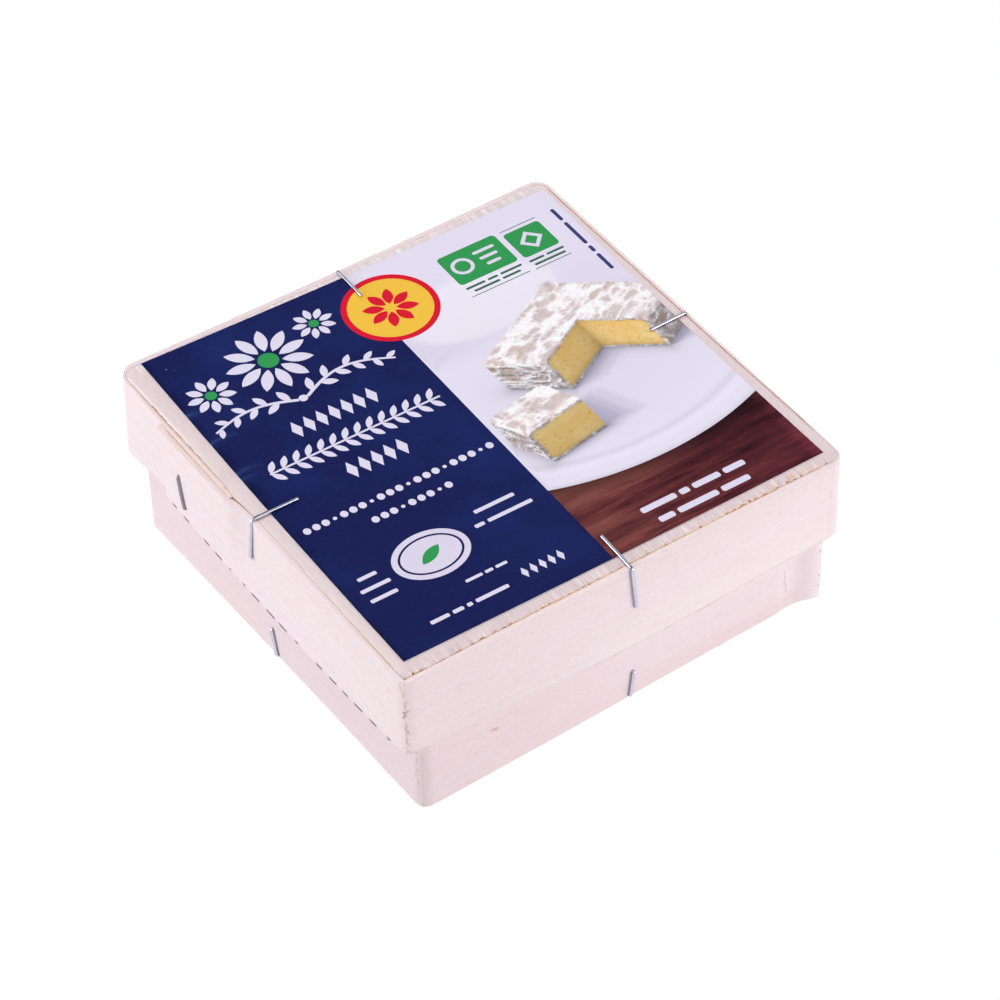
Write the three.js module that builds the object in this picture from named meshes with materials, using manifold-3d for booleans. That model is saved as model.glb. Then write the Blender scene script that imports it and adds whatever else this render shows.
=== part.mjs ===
// A small square soft cheese in its shut box of thin poplar: a lid whose band
// of veneer drops over the base's band, boards stapled into both, and a printed
// paper label on the lid. Millimetres, +Z up, front face towards -Y.
import * as THREE from 'three';
import * as BufferGeometryUtils from 'three/addons/utils/BufferGeometryUtils.js';
import Module from 'manifold-3d';

const wasm = await Module();
wasm.setup();

// ---------------------------------------------------------------- sizes (mm)
const BOX_H = 39.2;            // underside of the base to the lid band's top edge
const VENEER = 1.15;           // thickness of both bands
const PLY_GAP = 0.2;           // air between the two plies where a band overlaps
const CLEAR = 0.3;             // between pieces that touch
const LID = {
  corners: [[-52, -52.34], [52, -52.34], [52, 52.2], [-52, 52.75]], // front left, then anticlockwise
  radii: [2.7, 3.6, 3.6, 3.6],
  skirt: 19.9,                 // height of the lid's band
  flare: [1.6, 1.3, 1.5, 1.05], // lower edge stands out by this at mid side
  bow: [0, 0, -0.25, 0],       // sides slightly hollow in plan
};
const BASE = {
  corners: [[-49.24, -49.32], [49.24, -49.32], [49.24, 49.32], [-49.24, 49.32]],
  radii: [3.0, 3.2, 3.4, 2.6],
  bow: [0, 0, 0, -0.2],
  top: 37.0,                   // the base's band runs up inside the lid
  centre: [0.17, -0.43],
  turn: 1.27,                  // degrees that the base sits turned in the lid
};
const LID_BOARD = { top: 39.1, thick: 1.8, gap: 0.35 };
const LABEL = {
  corners: [[-48.5, -47.35], [49.35, -48.17], [50.2, 48.7], [-46.35, 51.4]],
  bow: [0.38, -0.42, -0.4, 0.38],  // sides slightly bent in plan, out from the label
  under: 39.13, thick: 0.12, radius: 0.8,
};
const WIRE_R = 0.38;           // staple wire
const WIRE_SIDES = 8;
const LID_LEG_IN = 10.4;       // length of a corner staple along the board
const LID_LEG_DOWN = 9.6;      // and down the band
const BASE_LEG_UP = 6.7;
const BASE_LEG_IN = 9.6;

// ------------------------------------------------- outline of a rounded square
// Sides run anticlockwise from the front: 0 front, 1 right, 2 back, 3 left.
// Each station has a place, an outward normal, its side and a weight w that is
// 0 at the corners and 1 at the middle of a side.
function roundedOutline(corners, radii) {
  const n = corners.length;
  const arcs = corners.map((c, i) => {
    const p = new THREE.Vector2(...corners[(i + n - 1) % n]);
    const q = new THREE.Vector2(...corners[(i + 1) % n]);
    const v = new THREE.Vector2(...c);
    const a = p.clone().sub(v).normalize();
    const b = q.clone().sub(v).normalize();
    const half = Math.acos(THREE.MathUtils.clamp(a.dot(b), -1, 1)) / 2;
    const reach = radii[i] / Math.tan(half);
    const centre = v.clone().add(a.clone().add(b).normalize().multiplyScalar(radii[i] / Math.sin(half)));
    const from = v.clone().addScaledVector(a, reach);
    const to = v.clone().addScaledVector(b, reach);
    const t0 = Math.atan2(from.y - centre.y, from.x - centre.x);
    let sweep = Math.atan2(to.y - centre.y, to.x - centre.x) - t0;
    while (sweep < 0) sweep += 2 * Math.PI;
    return { centre, from, to, t0, sweep, r: radii[i] };
  });
  const pieces = [];
  for (let i = 0; i < n; i++) {
    const a = arcs[i];
    const b = arcs[(i + 1) % n];
    pieces.push({ side: i, arc: a, len: a.r * a.sweep });
    pieces.push({ side: i, a: a.to, b: b.from, len: a.to.distanceTo(b.from) });
  }
  const total = pieces.reduce((s, p) => s + p.len, 0);
  function at(d) {
    d = ((d % total) + total) % total;
    for (const p of pieces) {
      if (d > p.len) { d -= p.len; continue; }
      const u = d / p.len;
      if (p.arc) {
        const t = p.arc.t0 + p.arc.sweep * u;
        return {
          x: p.arc.centre.x + p.arc.r * Math.cos(t), y: p.arc.centre.y + p.arc.r * Math.sin(t),
          nx: Math.cos(t), ny: Math.sin(t), side: p.side, w: 0,
        };
      }
      const dx = (p.b.x - p.a.x) / p.len;
      const dy = (p.b.y - p.a.y) / p.len;
      return {
        x: p.a.x + dx * d, y: p.a.y + dy * d, nx: dy, ny: -dx, side: p.side,
        w: Math.sin(Math.PI * u),
      };
    }
    return at(0);
  }
  // distance along the outline of the station on a side nearest to a coordinate
  function where(side, coord) {
    let d = 0;
    for (const p of pieces) {
      if (!p.arc && p.side === side) {
        const k = side % 2 === 0 ? 'x' : 'y';
        return d + p.len * (coord - p.a[k]) / (p.b[k] - p.a[k]);
      }
      d += p.len;
    }
    return d;
  }
  // stops for a run from d0 to d1: close together round the corners, with more
  // where a band steps in or out
  function stops(d0, d1, more = [], straight = 9, bend = 5) {
    const out = [];
    for (let lap = Math.floor(d0 / total) * total; lap < d1; lap += total) {
      let d = lap;
      for (const p of pieces) {
        const k = p.arc ? bend : Math.ceil(p.len / straight);
        for (let j = 0; j <= k; j++) {
          const v = d + p.len * j / k;
          if (v > d0 + 0.3 && v < d1 - 0.3) out.push(v);
        }
        d += p.len;
      }
    }
    const all = out.filter((v) => more.every((m) => Math.abs(m - v) > 0.6));
    all.push(d0, d1, ...more.filter((m) => m > d0 && m < d1));
    all.sort((a, b) => a - b);
    return all.filter((v, i) => i === 0 || v - all[i - 1] > 1e-6);
  }
  return { at, where, stops, total };
}

// ------------------------------------------------------------- mesh from quads
class Shell {
  constructor() { this.p = []; this.i = []; }
  point(x, y, z) { this.p.push(x, y, z); return this.p.length / 3 - 1; }
  quad(a, b, c, d) { this.i.push(a, b, c, a, c, d); }
  geometry() {
    const g = new THREE.BufferGeometry();
    g.setAttribute('position', new THREE.Float32BufferAttribute(this.p, 3));
    g.setIndex(this.i);
    g.computeVertexNormals();
    return g;
  }
}

// A strip of veneer bent round an outline, open where its two ends overlap.
// shift(d, station, z) moves its outer face out from the outline, and
// thick(d, station) is the veneer's thickness.
function bentStrip(outline, d0, d1, shift, thick, rows, more = [], station = outline.at) {
  const ds = outline.stops(d0, d1, more);
  const shell = new Shell();
  const outer = [];
  const inner = [];
  for (const d of ds) {
    const s = station(d);
    const t = thick(d, s);
    const oc = [];
    const ic = [];
    for (const z of rows) {
      const k = shift(d, s, z);
      oc.push(shell.point(s.x + s.nx * k, s.y + s.ny * k, z));
      ic.push(shell.point(s.x + s.nx * (k - t), s.y + s.ny * (k - t), z));
    }
    outer.push(oc);
    inner.push(ic);
  }
  const m = rows.length;
  for (let i = 0; i + 1 < ds.length; i++) {
    for (let j = 0; j + 1 < m; j++) {
      shell.quad(outer[i][j], outer[i + 1][j], outer[i + 1][j + 1], outer[i][j + 1]);
      shell.quad(inner[i][j], inner[i][j + 1], inner[i + 1][j + 1], inner[i + 1][j]);
    }
    shell.quad(outer[i][m - 1], outer[i + 1][m - 1], inner[i + 1][m - 1], inner[i][m - 1]);
    shell.quad(inner[i][0], inner[i + 1][0], outer[i + 1][0], outer[i][0]);
  }
  const e = ds.length - 1;
  for (let j = 0; j + 1 < m; j++) {
    shell.quad(inner[0][j], outer[0][j], outer[0][j + 1], inner[0][j + 1]);
    shell.quad(outer[e][j], inner[e][j], inner[e][j + 1], outer[e][j + 1]);
  }
  return shell.geometry();
}

// A flat board that fills an outline, set in from it.
function board(outline, inset, z0, z1, more = [], straight = 9, bend = 5) {
  const pts = outline.stops(0, outline.total, more, straight, bend).slice(0, -1).map((d) => {
    const s = outline.at(d);
    const k = inset(d, s);
    return new THREE.Vector2(s.x - s.nx * k, s.y - s.ny * k);
  });
  const g = new THREE.ExtrudeGeometry(new THREE.Shape(pts), { depth: z1 - z0, bevelEnabled: false, steps: 1 });
  g.translate(0, 0, z0);
  return g;
}

// Smooth step from 0 to 1 between a and b.
const ease = (v, a, b) => THREE.MathUtils.smoothstep(v, a, b);

// -------------------------------------------------------------- boolean helper
function toSolid(geometry) {
  const g = geometry.clone();
  g.deleteAttribute('normal');
  if (g.attributes.uv) g.deleteAttribute('uv');
  const m = BufferGeometryUtils.mergeVertices(g, 1e-4);
  return new wasm.Manifold(new wasm.Mesh({
    numProp: 3,
    vertProperties: new Float32Array(m.attributes.position.array),
    triVerts: new Uint32Array(m.index.array),
  }));
}
function fromSolid(solid) {
  const mesh = solid.getMesh();
  const g = new THREE.BufferGeometry();
  g.setAttribute('position', new THREE.BufferAttribute(new Float32Array(mesh.vertProperties), 3));
  g.setIndex(new THREE.BufferAttribute(new Uint32Array(mesh.triVerts), 1));
  g.computeVertexNormals();
  return g;
}
function carve(geometry, cutters) {
  let s = toSolid(geometry);
  for (const c of cutters) s = s.subtract(toSolid(c));
  return fromSolid(s);
}

// ------------------------------------------------------------------- materials
const poplar = (hex) => new THREE.MeshStandardMaterial({ color: hex, roughness: 0.85, metalness: 0 });
const steel = () => new THREE.MeshStandardMaterial({ color: 0xb9bcc4, roughness: 0.3, metalness: 1 });
const paper = () => new THREE.MeshStandardMaterial({ color: 0x22306a, roughness: 0.4, metalness: 0 });

const box = new THREE.Group();
const lid = new THREE.Group();
const base = new THREE.Group();
base.position.set(BASE.centre[0], BASE.centre[1], 0);
base.rotation.z = THREE.MathUtils.degToRad(BASE.turn);
box.add(lid, base);
function add(group, name, geometry, material) {
  const m = new THREE.Mesh(geometry, material);
  m.name = name;
  group.add(m);
  return m;
}

// ---------------------------------------------------------------- the lid band
// The strip starts with its outer, free end on the left side near the back,
// runs forward, round the front, right and back, and ends under itself.
const lidLine = roundedOutline(LID.corners, LID.radii);
const LID_FREE_END_Y = 34;     // outer ply ends here on the left side
const LID_UNDER_END_Y = 8.6;     // inner ply ends here
const dLidFree = lidLine.where(3, LID_FREE_END_Y);
const dLidEnd = lidLine.where(3, LID_UNDER_END_Y) + lidLine.total;
const isOuterPly = (d) => d < dLidFree + 120;   // all of the left side's first pass
// How far the band's outer face stands out at its top and at its lower edge.
function lidTop(d, s) {
  const lap = s.side === 3 && isOuterPly(d) ? (VENEER + PLY_GAP) * ease(s.y, 1.0, 9.0) : 0;
  return lap + s.w * LID.bow[s.side];
}
function lidFoot(d, s) {
  if (s.side !== 3) return LID.flare[s.side] * Math.pow(s.w, 1.5);
  const out = LID.flare[3] * Math.pow(s.w, 0.75);
  if (isOuterPly(d)) return out;
  return s.w > 0 ? -0.72 * (1 - ease(s.y, 35, 49)) : 0;   // drawn in under the outer ply
}
const lidShift = (d, s, z) => {
  const k = Math.pow((BOX_H - z) / LID.skirt, 1.3);
  return lidTop(d, s) * (1 - k) + lidFoot(d, s) * k;
};
// The veneer is thinner along the right side.
const lidThick = (d, s) => VENEER - (s.side === 1 ? 0.45 * ease(s.w, 0, 0.3) : 0);
const lidRows = [0, 0.3, 0.65, 1].map((f) => BOX_H - LID.skirt + LID.skirt * f);
const lidMore = [1.0, 2.2, 3.6, 5.2, 7.0, 9.0].map((y) => lidLine.where(3, y));
const lidMoreIn = [46, 42, 38, 35].map((y) => lidLine.where(3, y) + lidLine.total);
add(lid, 'lid_band', bentStrip(lidLine, dLidFree, dLidEnd, lidShift, lidThick, lidRows, [...lidMore, ...lidMoreIn]), poplar(0xeadadb));

// --------------------------------------------------------------- the lid board
add(lid, 'lid_board', board(
  lidLine,
  (d, s) => lidThick(d, s) + LID_BOARD.gap - s.w * LID.bow[s.side],
  LID_BOARD.top - LID_BOARD.thick, LID_BOARD.top,
), poplar(0xe2d2d3));

// ------------------------------------------------------------------- the label
const labelLine = roundedOutline(LABEL.corners, [0.4, 0.4, 0.4, 0.4].map(() => LABEL.radius));
add(lid, 'label', board(labelLine, (d, s) => -s.w * LABEL.bow[s.side], LABEL.under, LABEL.under + LABEL.thick, [], 12, 2), paper());

// --------------------------------------------------------------- the base band
// Its outer, free end is on the front near the right corner: drawn in at its
// staple, then sprung out past the corner. The other end tucks in behind it.
const baseLine = roundedOutline(BASE.corners, BASE.radii);
const BASE_FREE_END_X = 47.8;
const BASE_UNDER_END_X = 31;
const FRONT_END_X = BASE.corners[1][0] - BASE.radii[1];   // straight part of the front ends
const dFrontEnd = baseLine.where(0, FRONT_END_X);
const dBaseEnd = baseLine.where(0, BASE_FREE_END_X);
const dBaseStart = baseLine.where(0, BASE_UNDER_END_X) - baseLine.total;
const frontRun = (x) => -0.4 * ease(x, -25, 38) - 0.25 * ease(x, 37.5, 40) + 1.45 * ease(x, 42, 48);
const tuckRun = (x) => frontRun(x) - VENEER - PLY_GAP;
const roundCorner = (d) => tuckRun(FRONT_END_X) * (1 - ease(d, dFrontEnd, dFrontEnd + 9));
// The outer ply runs straight on where the corner begins.
const baseStation = (d) => {
  if (d < dFrontEnd || d > dBaseEnd + 1) return baseLine.at(d);
  const s = baseLine.at(dFrontEnd - 1e-6);
  return { ...s, x: s.x + d - dFrontEnd, w: 0 };
};
const baseOffset = (d) => {
  if (d > 0) return frontRun(baseStation(d).x);
  const s = baseLine.at(d);
  if (s.side === 0 && s.w > 0 && d < dBaseStart + 20) return tuckRun(s.x);
  return d < dBaseStart + 40 ? roundCorner(d + baseLine.total) : 0;
};
const baseShift = (d, s) => baseOffset(d) + s.w * BASE.bow[s.side];
const frontMore = [-25, -10, 5, 20, 27.5, 30, 37.5, 38.7, 40, 42, 43, 44, 45].map((x) => baseLine.where(0, x));
const endMore = [dFrontEnd, dFrontEnd + 0.9];
const tuckMore = [37.5, 38.7, 40, 42, 43, 44, 45].map((x) => baseLine.where(0, x) - baseLine.total);
const cornerMore = [1, 2, 3, 5, 7, 9].map((v) => dFrontEnd + v);
const baseBandRaw = bentStrip(
  baseLine, dBaseStart, dBaseEnd, baseShift, () => VENEER, [0, BASE.top],
  [...frontMore, ...endMore, ...tuckMore, ...cornerMore.map((v) => v - baseLine.total)], baseStation,
);

// -------------------------------------- the base board and the shut box inside
// One solid: the bottom board with the closed box's unseen inside. It leaves
// room for the tucked end of the band.
const boardRoom = (d, s) => {
  if (s.side === 0 && s.w > 0) {
    return -frontRun(s.x) + (VENEER + PLY_GAP + 0.05) * ease(s.x, 27.5, 30);
  }
  return d < dFrontEnd + 12 && d >= dFrontEnd - 1e-6 ? 0.05 - roundCorner(d) : 0;
};
const baseBoardRaw = board(
  baseLine,
  (d, s) => VENEER + CLEAR - s.w * BASE.bow[s.side] + boardRoom(d, s),
  0, BASE.top, [...frontMore, ...cornerMore],
);

// ----------------------------------------------------------------- the staples
// A wire of round section along rounded-off points.
function wire(points, bendR, steps) {
  const path = new THREE.CurvePath();
  let last = points[0].clone();
  for (let i = 1; i + 1 < points.length; i++) {
    const a = points[i - 1].clone().sub(points[i]).normalize();
    const b = points[i + 1].clone().sub(points[i]).normalize();
    const from = points[i].clone().addScaledVector(a, bendR);
    const to = points[i].clone().addScaledVector(b, bendR);
    path.add(new THREE.LineCurve3(last, from));
    path.add(new THREE.QuadraticBezierCurve3(from, points[i].clone(), to));
    last = to;
  }
  path.add(new THREE.LineCurve3(last, points[points.length - 1].clone()));
  const section = new THREE.Shape();
  for (let k = 0; k < WIRE_SIDES; k++) {
    const t = (k + 0.5) * 2 * Math.PI / WIRE_SIDES;
    const x = WIRE_R * Math.cos(t);
    const y = WIRE_R * Math.sin(t);
    if (k) section.lineTo(x, y); else section.moveTo(x, y);
  }
  section.closePath();
  return new THREE.ExtrudeGeometry(section, { extrudePath: path, steps, bevelEnabled: false });
}

// Place on a side of the lid, out beyond the face of its band.
function onLid(side, along, out, z) {
  const d = lidLine.where(side, along);
  const s = lidLine.at(d);
  const k = out + lidShift(d, s, Math.min(z, BOX_H));
  return new THREE.Vector3(s.x + s.nx * k, s.y + s.ny * k, z);
}

// Corner staple of the lid: along the label and board, over the edge, down.
function lidStaple(side, tip, edge) {
  const lift = LABEL.under + LABEL.thick + 0.04 + WIRE_R;
  const off = WIRE_R + 0.05;
  const top = onLid(side, edge, off, lift);
  const s = lidLine.at(lidLine.where(side, tip));
  const start = new THREE.Vector3(s.x - s.nx * LID_LEG_IN, s.y - s.ny * LID_LEG_IN, lift);
  const knee = onLid(side, edge, off, BOX_H - 2.5);
  const end = onLid(side, edge, off + 0.1, BOX_H - LID_LEG_DOWN);
  return wire([start, top, knee, end], 0.7, 22);
}
add(lid, 'lid_staple_front', lidStaple(0, 0.4, 0.5), steel());
add(lid, 'lid_staple_right', lidStaple(1, -0.1, 0.0), steel());
add(lid, 'lid_staple_back', lidStaple(2, 0.7, 0.8), steel());
add(lid, 'lid_staple_left', lidStaple(3, 0.6, 0.0), steel());

// Straight staple that holds the two plies of the lid's band.
add(lid, 'lid_seam_staple', wire([
  onLid(3, 26.8, WIRE_R + 0.08, 31.2),
  onLid(3, 26.25, WIRE_R + 0.08, 27.0),
  onLid(3, 25.7, WIRE_R + 0.08, 22.8),
], 1.0, 10), steel());

// Corner staple of the base: down the band, under its edge, along the board.
// The wood is notched for it, so that the box still stands on its boards.
const BED = 0.04;              // wire's lowest line above the underside
function baseStaplePoints(side, along, lean) {
  const low = BED + WIRE_R;
  const on = (at, out, z) => {
    const s = baseLine.at(baseLine.where(side, at));
    const k = out + s.w * BASE.bow[side] + (side === 0 ? frontRun(s.x) : 0);
    return new THREE.Vector3(s.x + s.nx * k, s.y + s.ny * k, z);
  };
  const upper = on(along, WIRE_R + 0.11, BASE_LEG_UP);
  const knee = on(along - lean, WIRE_R + 0.06, low);
  const s = baseLine.at(baseLine.where(side, along - lean));
  const tip = new THREE.Vector3(knee.x - s.nx * BASE_LEG_IN, knee.y - s.ny * BASE_LEG_IN, low);
  return [upper, knee, tip];
}
const baseStapleAt = {
  base_staple_front: [0, 1.4, 0.8],
  base_staple_right: [1, 0.5, -0.6],
  base_staple_back: [2, -1.0, 0.8],
  base_staple_left: [3, 2.6, 1.4],
};
const notches = [];
for (const [name, [side, along, lean]] of Object.entries(baseStapleAt)) {
  const pts = baseStaplePoints(side, along, lean);
  add(base, name, wire(pts, 0.55, 16), steel());
  const run = pts[2].clone().sub(pts[1]);
  const long = run.length() + 2.4;
  const wide = 2 * WIRE_R + 2 * CLEAR;
  const deep = BED + 2 * WIRE_R + CLEAR;
  const cut = new THREE.BoxGeometry(long, wide, 2 * deep);
  cut.rotateZ(Math.atan2(run.y, run.x));
  const mid = pts[1].clone().lerp(pts[2], 0.5);
  cut.translate(mid.x, mid.y, 0);
  notches.push(cut);
}
add(base, 'base_band', carve(baseBandRaw, notches), poplar(0xe9d6da));
add(base, 'base_board', carve(baseBoardRaw, notches), poplar(0xe2d0d2));

// Straight staple that holds the base band's overlap.
{
  const put = (x, z) => {
    const s = baseLine.at(baseLine.where(0, x));
    const k = frontRun(x) + WIRE_R + 0.08;
    return new THREE.Vector3(s.x + s.nx * k, s.y + s.ny * k, z);
  };
  add(base, 'base_seam_staple', wire([put(39.87, 11.5), put(40.3, 7.9), put(40.74, 4.2)], 1.0, 8), steel());
}

// Stand the whole with the middle of its bounding box over the origin.
box.updateMatrixWorld(true);
const bounds = new THREE.Box3().setFromObject(box, true);
box.position.set(-(bounds.min.x + bounds.max.x) / 2, -(bounds.min.y + bounds.max.y) / 2, -bounds.min.z);
box.updateMatrixWorld(true);

export default box;
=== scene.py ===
"""Looks of a small square cheese box of thin poplar, shut: veneer bands bent
round four corners, boards stapled into both, and a printed paper label."""
import math

import bpy
import numpy as np
from mathutils import Matrix, Vector
from mathutils.geometry import delaunay_2d_cdt


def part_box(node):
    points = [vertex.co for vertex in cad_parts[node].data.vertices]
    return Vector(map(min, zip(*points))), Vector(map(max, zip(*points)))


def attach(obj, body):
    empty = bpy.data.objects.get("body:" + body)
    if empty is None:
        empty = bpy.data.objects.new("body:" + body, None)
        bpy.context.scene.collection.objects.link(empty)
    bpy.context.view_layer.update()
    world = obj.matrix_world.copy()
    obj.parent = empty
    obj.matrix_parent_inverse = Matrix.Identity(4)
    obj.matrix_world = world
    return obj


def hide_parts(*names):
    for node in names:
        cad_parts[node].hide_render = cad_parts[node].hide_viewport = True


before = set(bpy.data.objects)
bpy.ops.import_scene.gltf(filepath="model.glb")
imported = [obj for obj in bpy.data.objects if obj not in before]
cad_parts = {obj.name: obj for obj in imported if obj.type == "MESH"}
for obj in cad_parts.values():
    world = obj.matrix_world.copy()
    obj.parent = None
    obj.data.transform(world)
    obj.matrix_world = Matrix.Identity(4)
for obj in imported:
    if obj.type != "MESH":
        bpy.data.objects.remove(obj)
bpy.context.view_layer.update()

# ------------------------------------------------------------------ the frame
# Everything below is worked out in millimetres in the lid's own frame, where
# the lid board's right edge is at x = 50.5 and its front edge at y = -50.84.
BOARD_LO, BOARD_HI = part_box("lid_board")
SHIFT = np.array([BOARD_LO.x * 1000 + 50.5, BOARD_LO.y * 1000 + 50.84, 0.0])


def to_metres(p):
    return (np.asarray(p, float) + SHIFT) * 0.001


# ---------------------------------------------------------------------- sizes
BOX_H = 39.2
VENEER = 1.15
PLY_GAP = 0.2
LID_CORNERS = [(-52, -52.34), (52, -52.34), (52, 52.2), (-52, 52.75)]
LID_RADII = [2.7, 3.6, 3.6, 3.6]
SKIRT = 19.9
FLARE = np.array([1.6, 1.3, 1.5, 1.05])
LID_BOW = np.array([0, 0, -0.25, 0])
BASE_CORNERS = [(-49.24, -49.32), (49.24, -49.32), (49.24, 49.32), (-49.24, 49.32)]
BASE_RADII = [3.0, 3.2, 3.4, 2.6]
BASE_BOW = np.array([0, 0, 0, -0.2])
BASE_TOP = 37.0
BASE_CENTRE = (0.17, -0.43)
BASE_TURN = math.radians(1.27)
BOARD_TOP = 39.1
BOARD_THICK = 1.8
LABEL_CORNERS = [(-48.5, -47.35), (49.35, -48.17), (50.2, 48.7), (-46.35, 51.4)]
LABEL_BOW = np.array([0.30, -0.42, -0.4, 0.38])
LABEL_TOP = 39.27
LABEL_THICK = 0.1
WIRE_W = 0.355         # half width of the staple wire
WIRE_T = 0.33          # half thickness


# ---------------------------------------------------------------------- noise
def hash01(i, j, seed):
    i = np.asarray(i, np.int64)
    j = np.asarray(j, np.int64)
    h = (i * 374761393 + j * 668265263 + seed * 974634777) & 0xFFFFFFFF
    h = ((h ^ (h >> 13)) * 1274126177) & 0xFFFFFFFF
    h = h ^ (h >> 16)
    return (h & 0xFFFFFF) / float(0xFFFFFF)


def noise(x, y=0.0, seed=0):
    """Smooth value noise from -1 to 1."""
    x, y = np.broadcast_arrays(np.asarray(x, float), np.asarray(y, float))
    i, j = np.floor(x), np.floor(y)
    u, v = x - i, y - j
    u, v = u * u * (3 - 2 * u), v * v * (3 - 2 * v)
    a, b = hash01(i, j, seed), hash01(i + 1, j, seed)
    c, d = hash01(i, j + 1, seed), hash01(i + 1, j + 1, seed)
    return 2 * ((a * (1 - u) + b * u) * (1 - v) + (c * (1 - u) + d * u) * v) - 1


def fbm(x, y=0.0, seed=0, octaves=3):
    total, amp, norm = 0.0, 1.0, 0.0
    for k in range(octaves):
        total = total + amp * noise(np.asarray(x) * 2 ** k, np.asarray(y) * 2 ** k, seed + 17 * k)
        norm += amp
        amp *= 0.5
    return total / norm


def ease(v, a, b):
    t = np.clip((np.asarray(v, float) - a) / (b - a), 0, 1)
    return t * t * (3 - 2 * t)


def bump(v, centre, half):
    """1 at the centre, falling smoothly to 0 at half away from it."""
    t = np.clip(1 - np.abs(np.asarray(v, float) - centre) / half, 0, 1)
    return t * t * (3 - 2 * t)


# ------------------------------------------------ outline of a rounded square
class Outline:
    """Runs anticlockwise from the front left corner. Sides: 0 front, 1 right,
    2 back, 3 left; the arc at a corner belongs to the side that follows."""

    def __init__(self, corners, radii):
        c = np.array(corners, float)
        n = len(c)
        arcs = []
        for i in range(n):
            v = c[i]
            a = c[i - 1] - v
            b = c[(i + 1) % n] - v
            a /= np.linalg.norm(a)
            b /= np.linalg.norm(b)
            half = math.acos(max(-1, min(1, float(a @ b)))) / 2
            reach = radii[i] / math.tan(half)
            m = (a + b) / np.linalg.norm(a + b)
            centre = v + m * radii[i] / math.sin(half)
            p, q = v + a * reach, v + b * reach
            t0 = math.atan2(p[1] - centre[1], p[0] - centre[0])
            sweep = math.atan2(q[1] - centre[1], q[0] - centre[0]) - t0
            while sweep < 0:
                sweep += 2 * math.pi
            arcs.append((centre, p, q, t0, sweep, radii[i]))
        self.pieces = []
        for i in range(n):
            centre, p, q, t0, sweep, r = arcs[i]
            self.pieces.append(dict(side=i, arc=(centre, t0, sweep, r), len=r * sweep))
            nxt = arcs[(i + 1) % n][1]
            self.pieces.append(dict(side=i, arc=None, a=q, b=nxt, len=float(np.linalg.norm(nxt - q))))
        self.start = np.concatenate([[0], np.cumsum([p["len"] for p in self.pieces])])
        self.total = float(self.start[-1])

    def at(self, d):
        d = np.asarray(d, float)
        dd = np.mod(d, self.total)
        out = {k: np.zeros(d.shape) for k in ("x", "y", "nx", "ny", "w")}
        out["side"] = np.zeros(d.shape, int)
        out["arc"] = np.zeros(d.shape, bool)
        for k, p in enumerate(self.pieces):
            m = (dd >= self.start[k]) & (dd <= self.start[k + 1])
            u = (dd[m] - self.start[k]) / p["len"]
            if p["arc"]:
                centre, t0, sweep, r = p["arc"]
                t = t0 + sweep * u
                out["nx"][m], out["ny"][m] = np.cos(t), np.sin(t)
                out["x"][m], out["y"][m] = centre[0] + r * np.cos(t), centre[1] + r * np.sin(t)
                out["w"][m] = 0
            else:
                e = (p["b"] - p["a"]) / p["len"]
                out["x"][m] = p["a"][0] + (p["b"][0] - p["a"][0]) * u
                out["y"][m] = p["a"][1] + (p["b"][1] - p["a"][1]) * u
                out["nx"][m], out["ny"][m] = e[1], -e[0]
                out["w"][m] = np.sin(np.pi * u)
            out["side"][m] = p["side"]
            out["arc"][m] = p["arc"] is not None
        return out

    def where(self, side, coord):
        k = 2 * side + 1
        p = self.pieces[k]
        ax = 0 if side % 2 == 0 else 1
        return self.start[k] + p["len"] * (coord - p["a"][ax]) / (p["b"][ax] - p["a"][ax])

    def arc_mid(self, corner):
        return float(self.start[2 * corner] + self.pieces[2 * corner]["len"] / 2)


def stations(line, d0, d1, step, arc_step, windows=()):
    """Distances from d0 to d1: a plain step on the sides, closer round the
    corners, and closer still in each window (centre, half width, step)."""
    out = []
    for lap in range(int(math.floor(d0 / line.total)), int(math.floor(d1 / line.total)) + 1):
        for k, p in enumerate(line.pieces):
            a = lap * line.total + line.start[k]
            n = max(1, int(math.ceil(p["len"] / (arc_step if p["arc"] else step))))
            out.extend(a + p["len"] * np.arange(n) / n)
    out = np.array(out)
    out = out[(out > d0 + 1e-3) & (out < d1 - 1e-3)]
    keep = np.ones(len(out), bool)
    extra = []
    for c, half, s in windows:
        keep &= np.abs(out - c) > half
        w = np.arange(-half, half + s * 0.5, s) + c
        extra.extend(w[(w > d0 + 1e-3) & (w < d1 - 1e-3)])
    out = np.sort(np.concatenate([out[keep], extra, [d0, d1]]))
    ok = [out[0]]
    for v in out[1:]:
        if v - ok[-1] > 0.03:
            ok.append(v)
    ok[-1] = d1
    return np.array(ok)


# --------------------------------------------------------------- mesh building
def srgb(r, g, b):
    def f(c):
        c = c / 255.0
        return c / 12.92 if c <= 0.04045 else ((c + 0.055) / 1.055) ** 2.4
    return (f(r), f(g), f(b))


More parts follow.
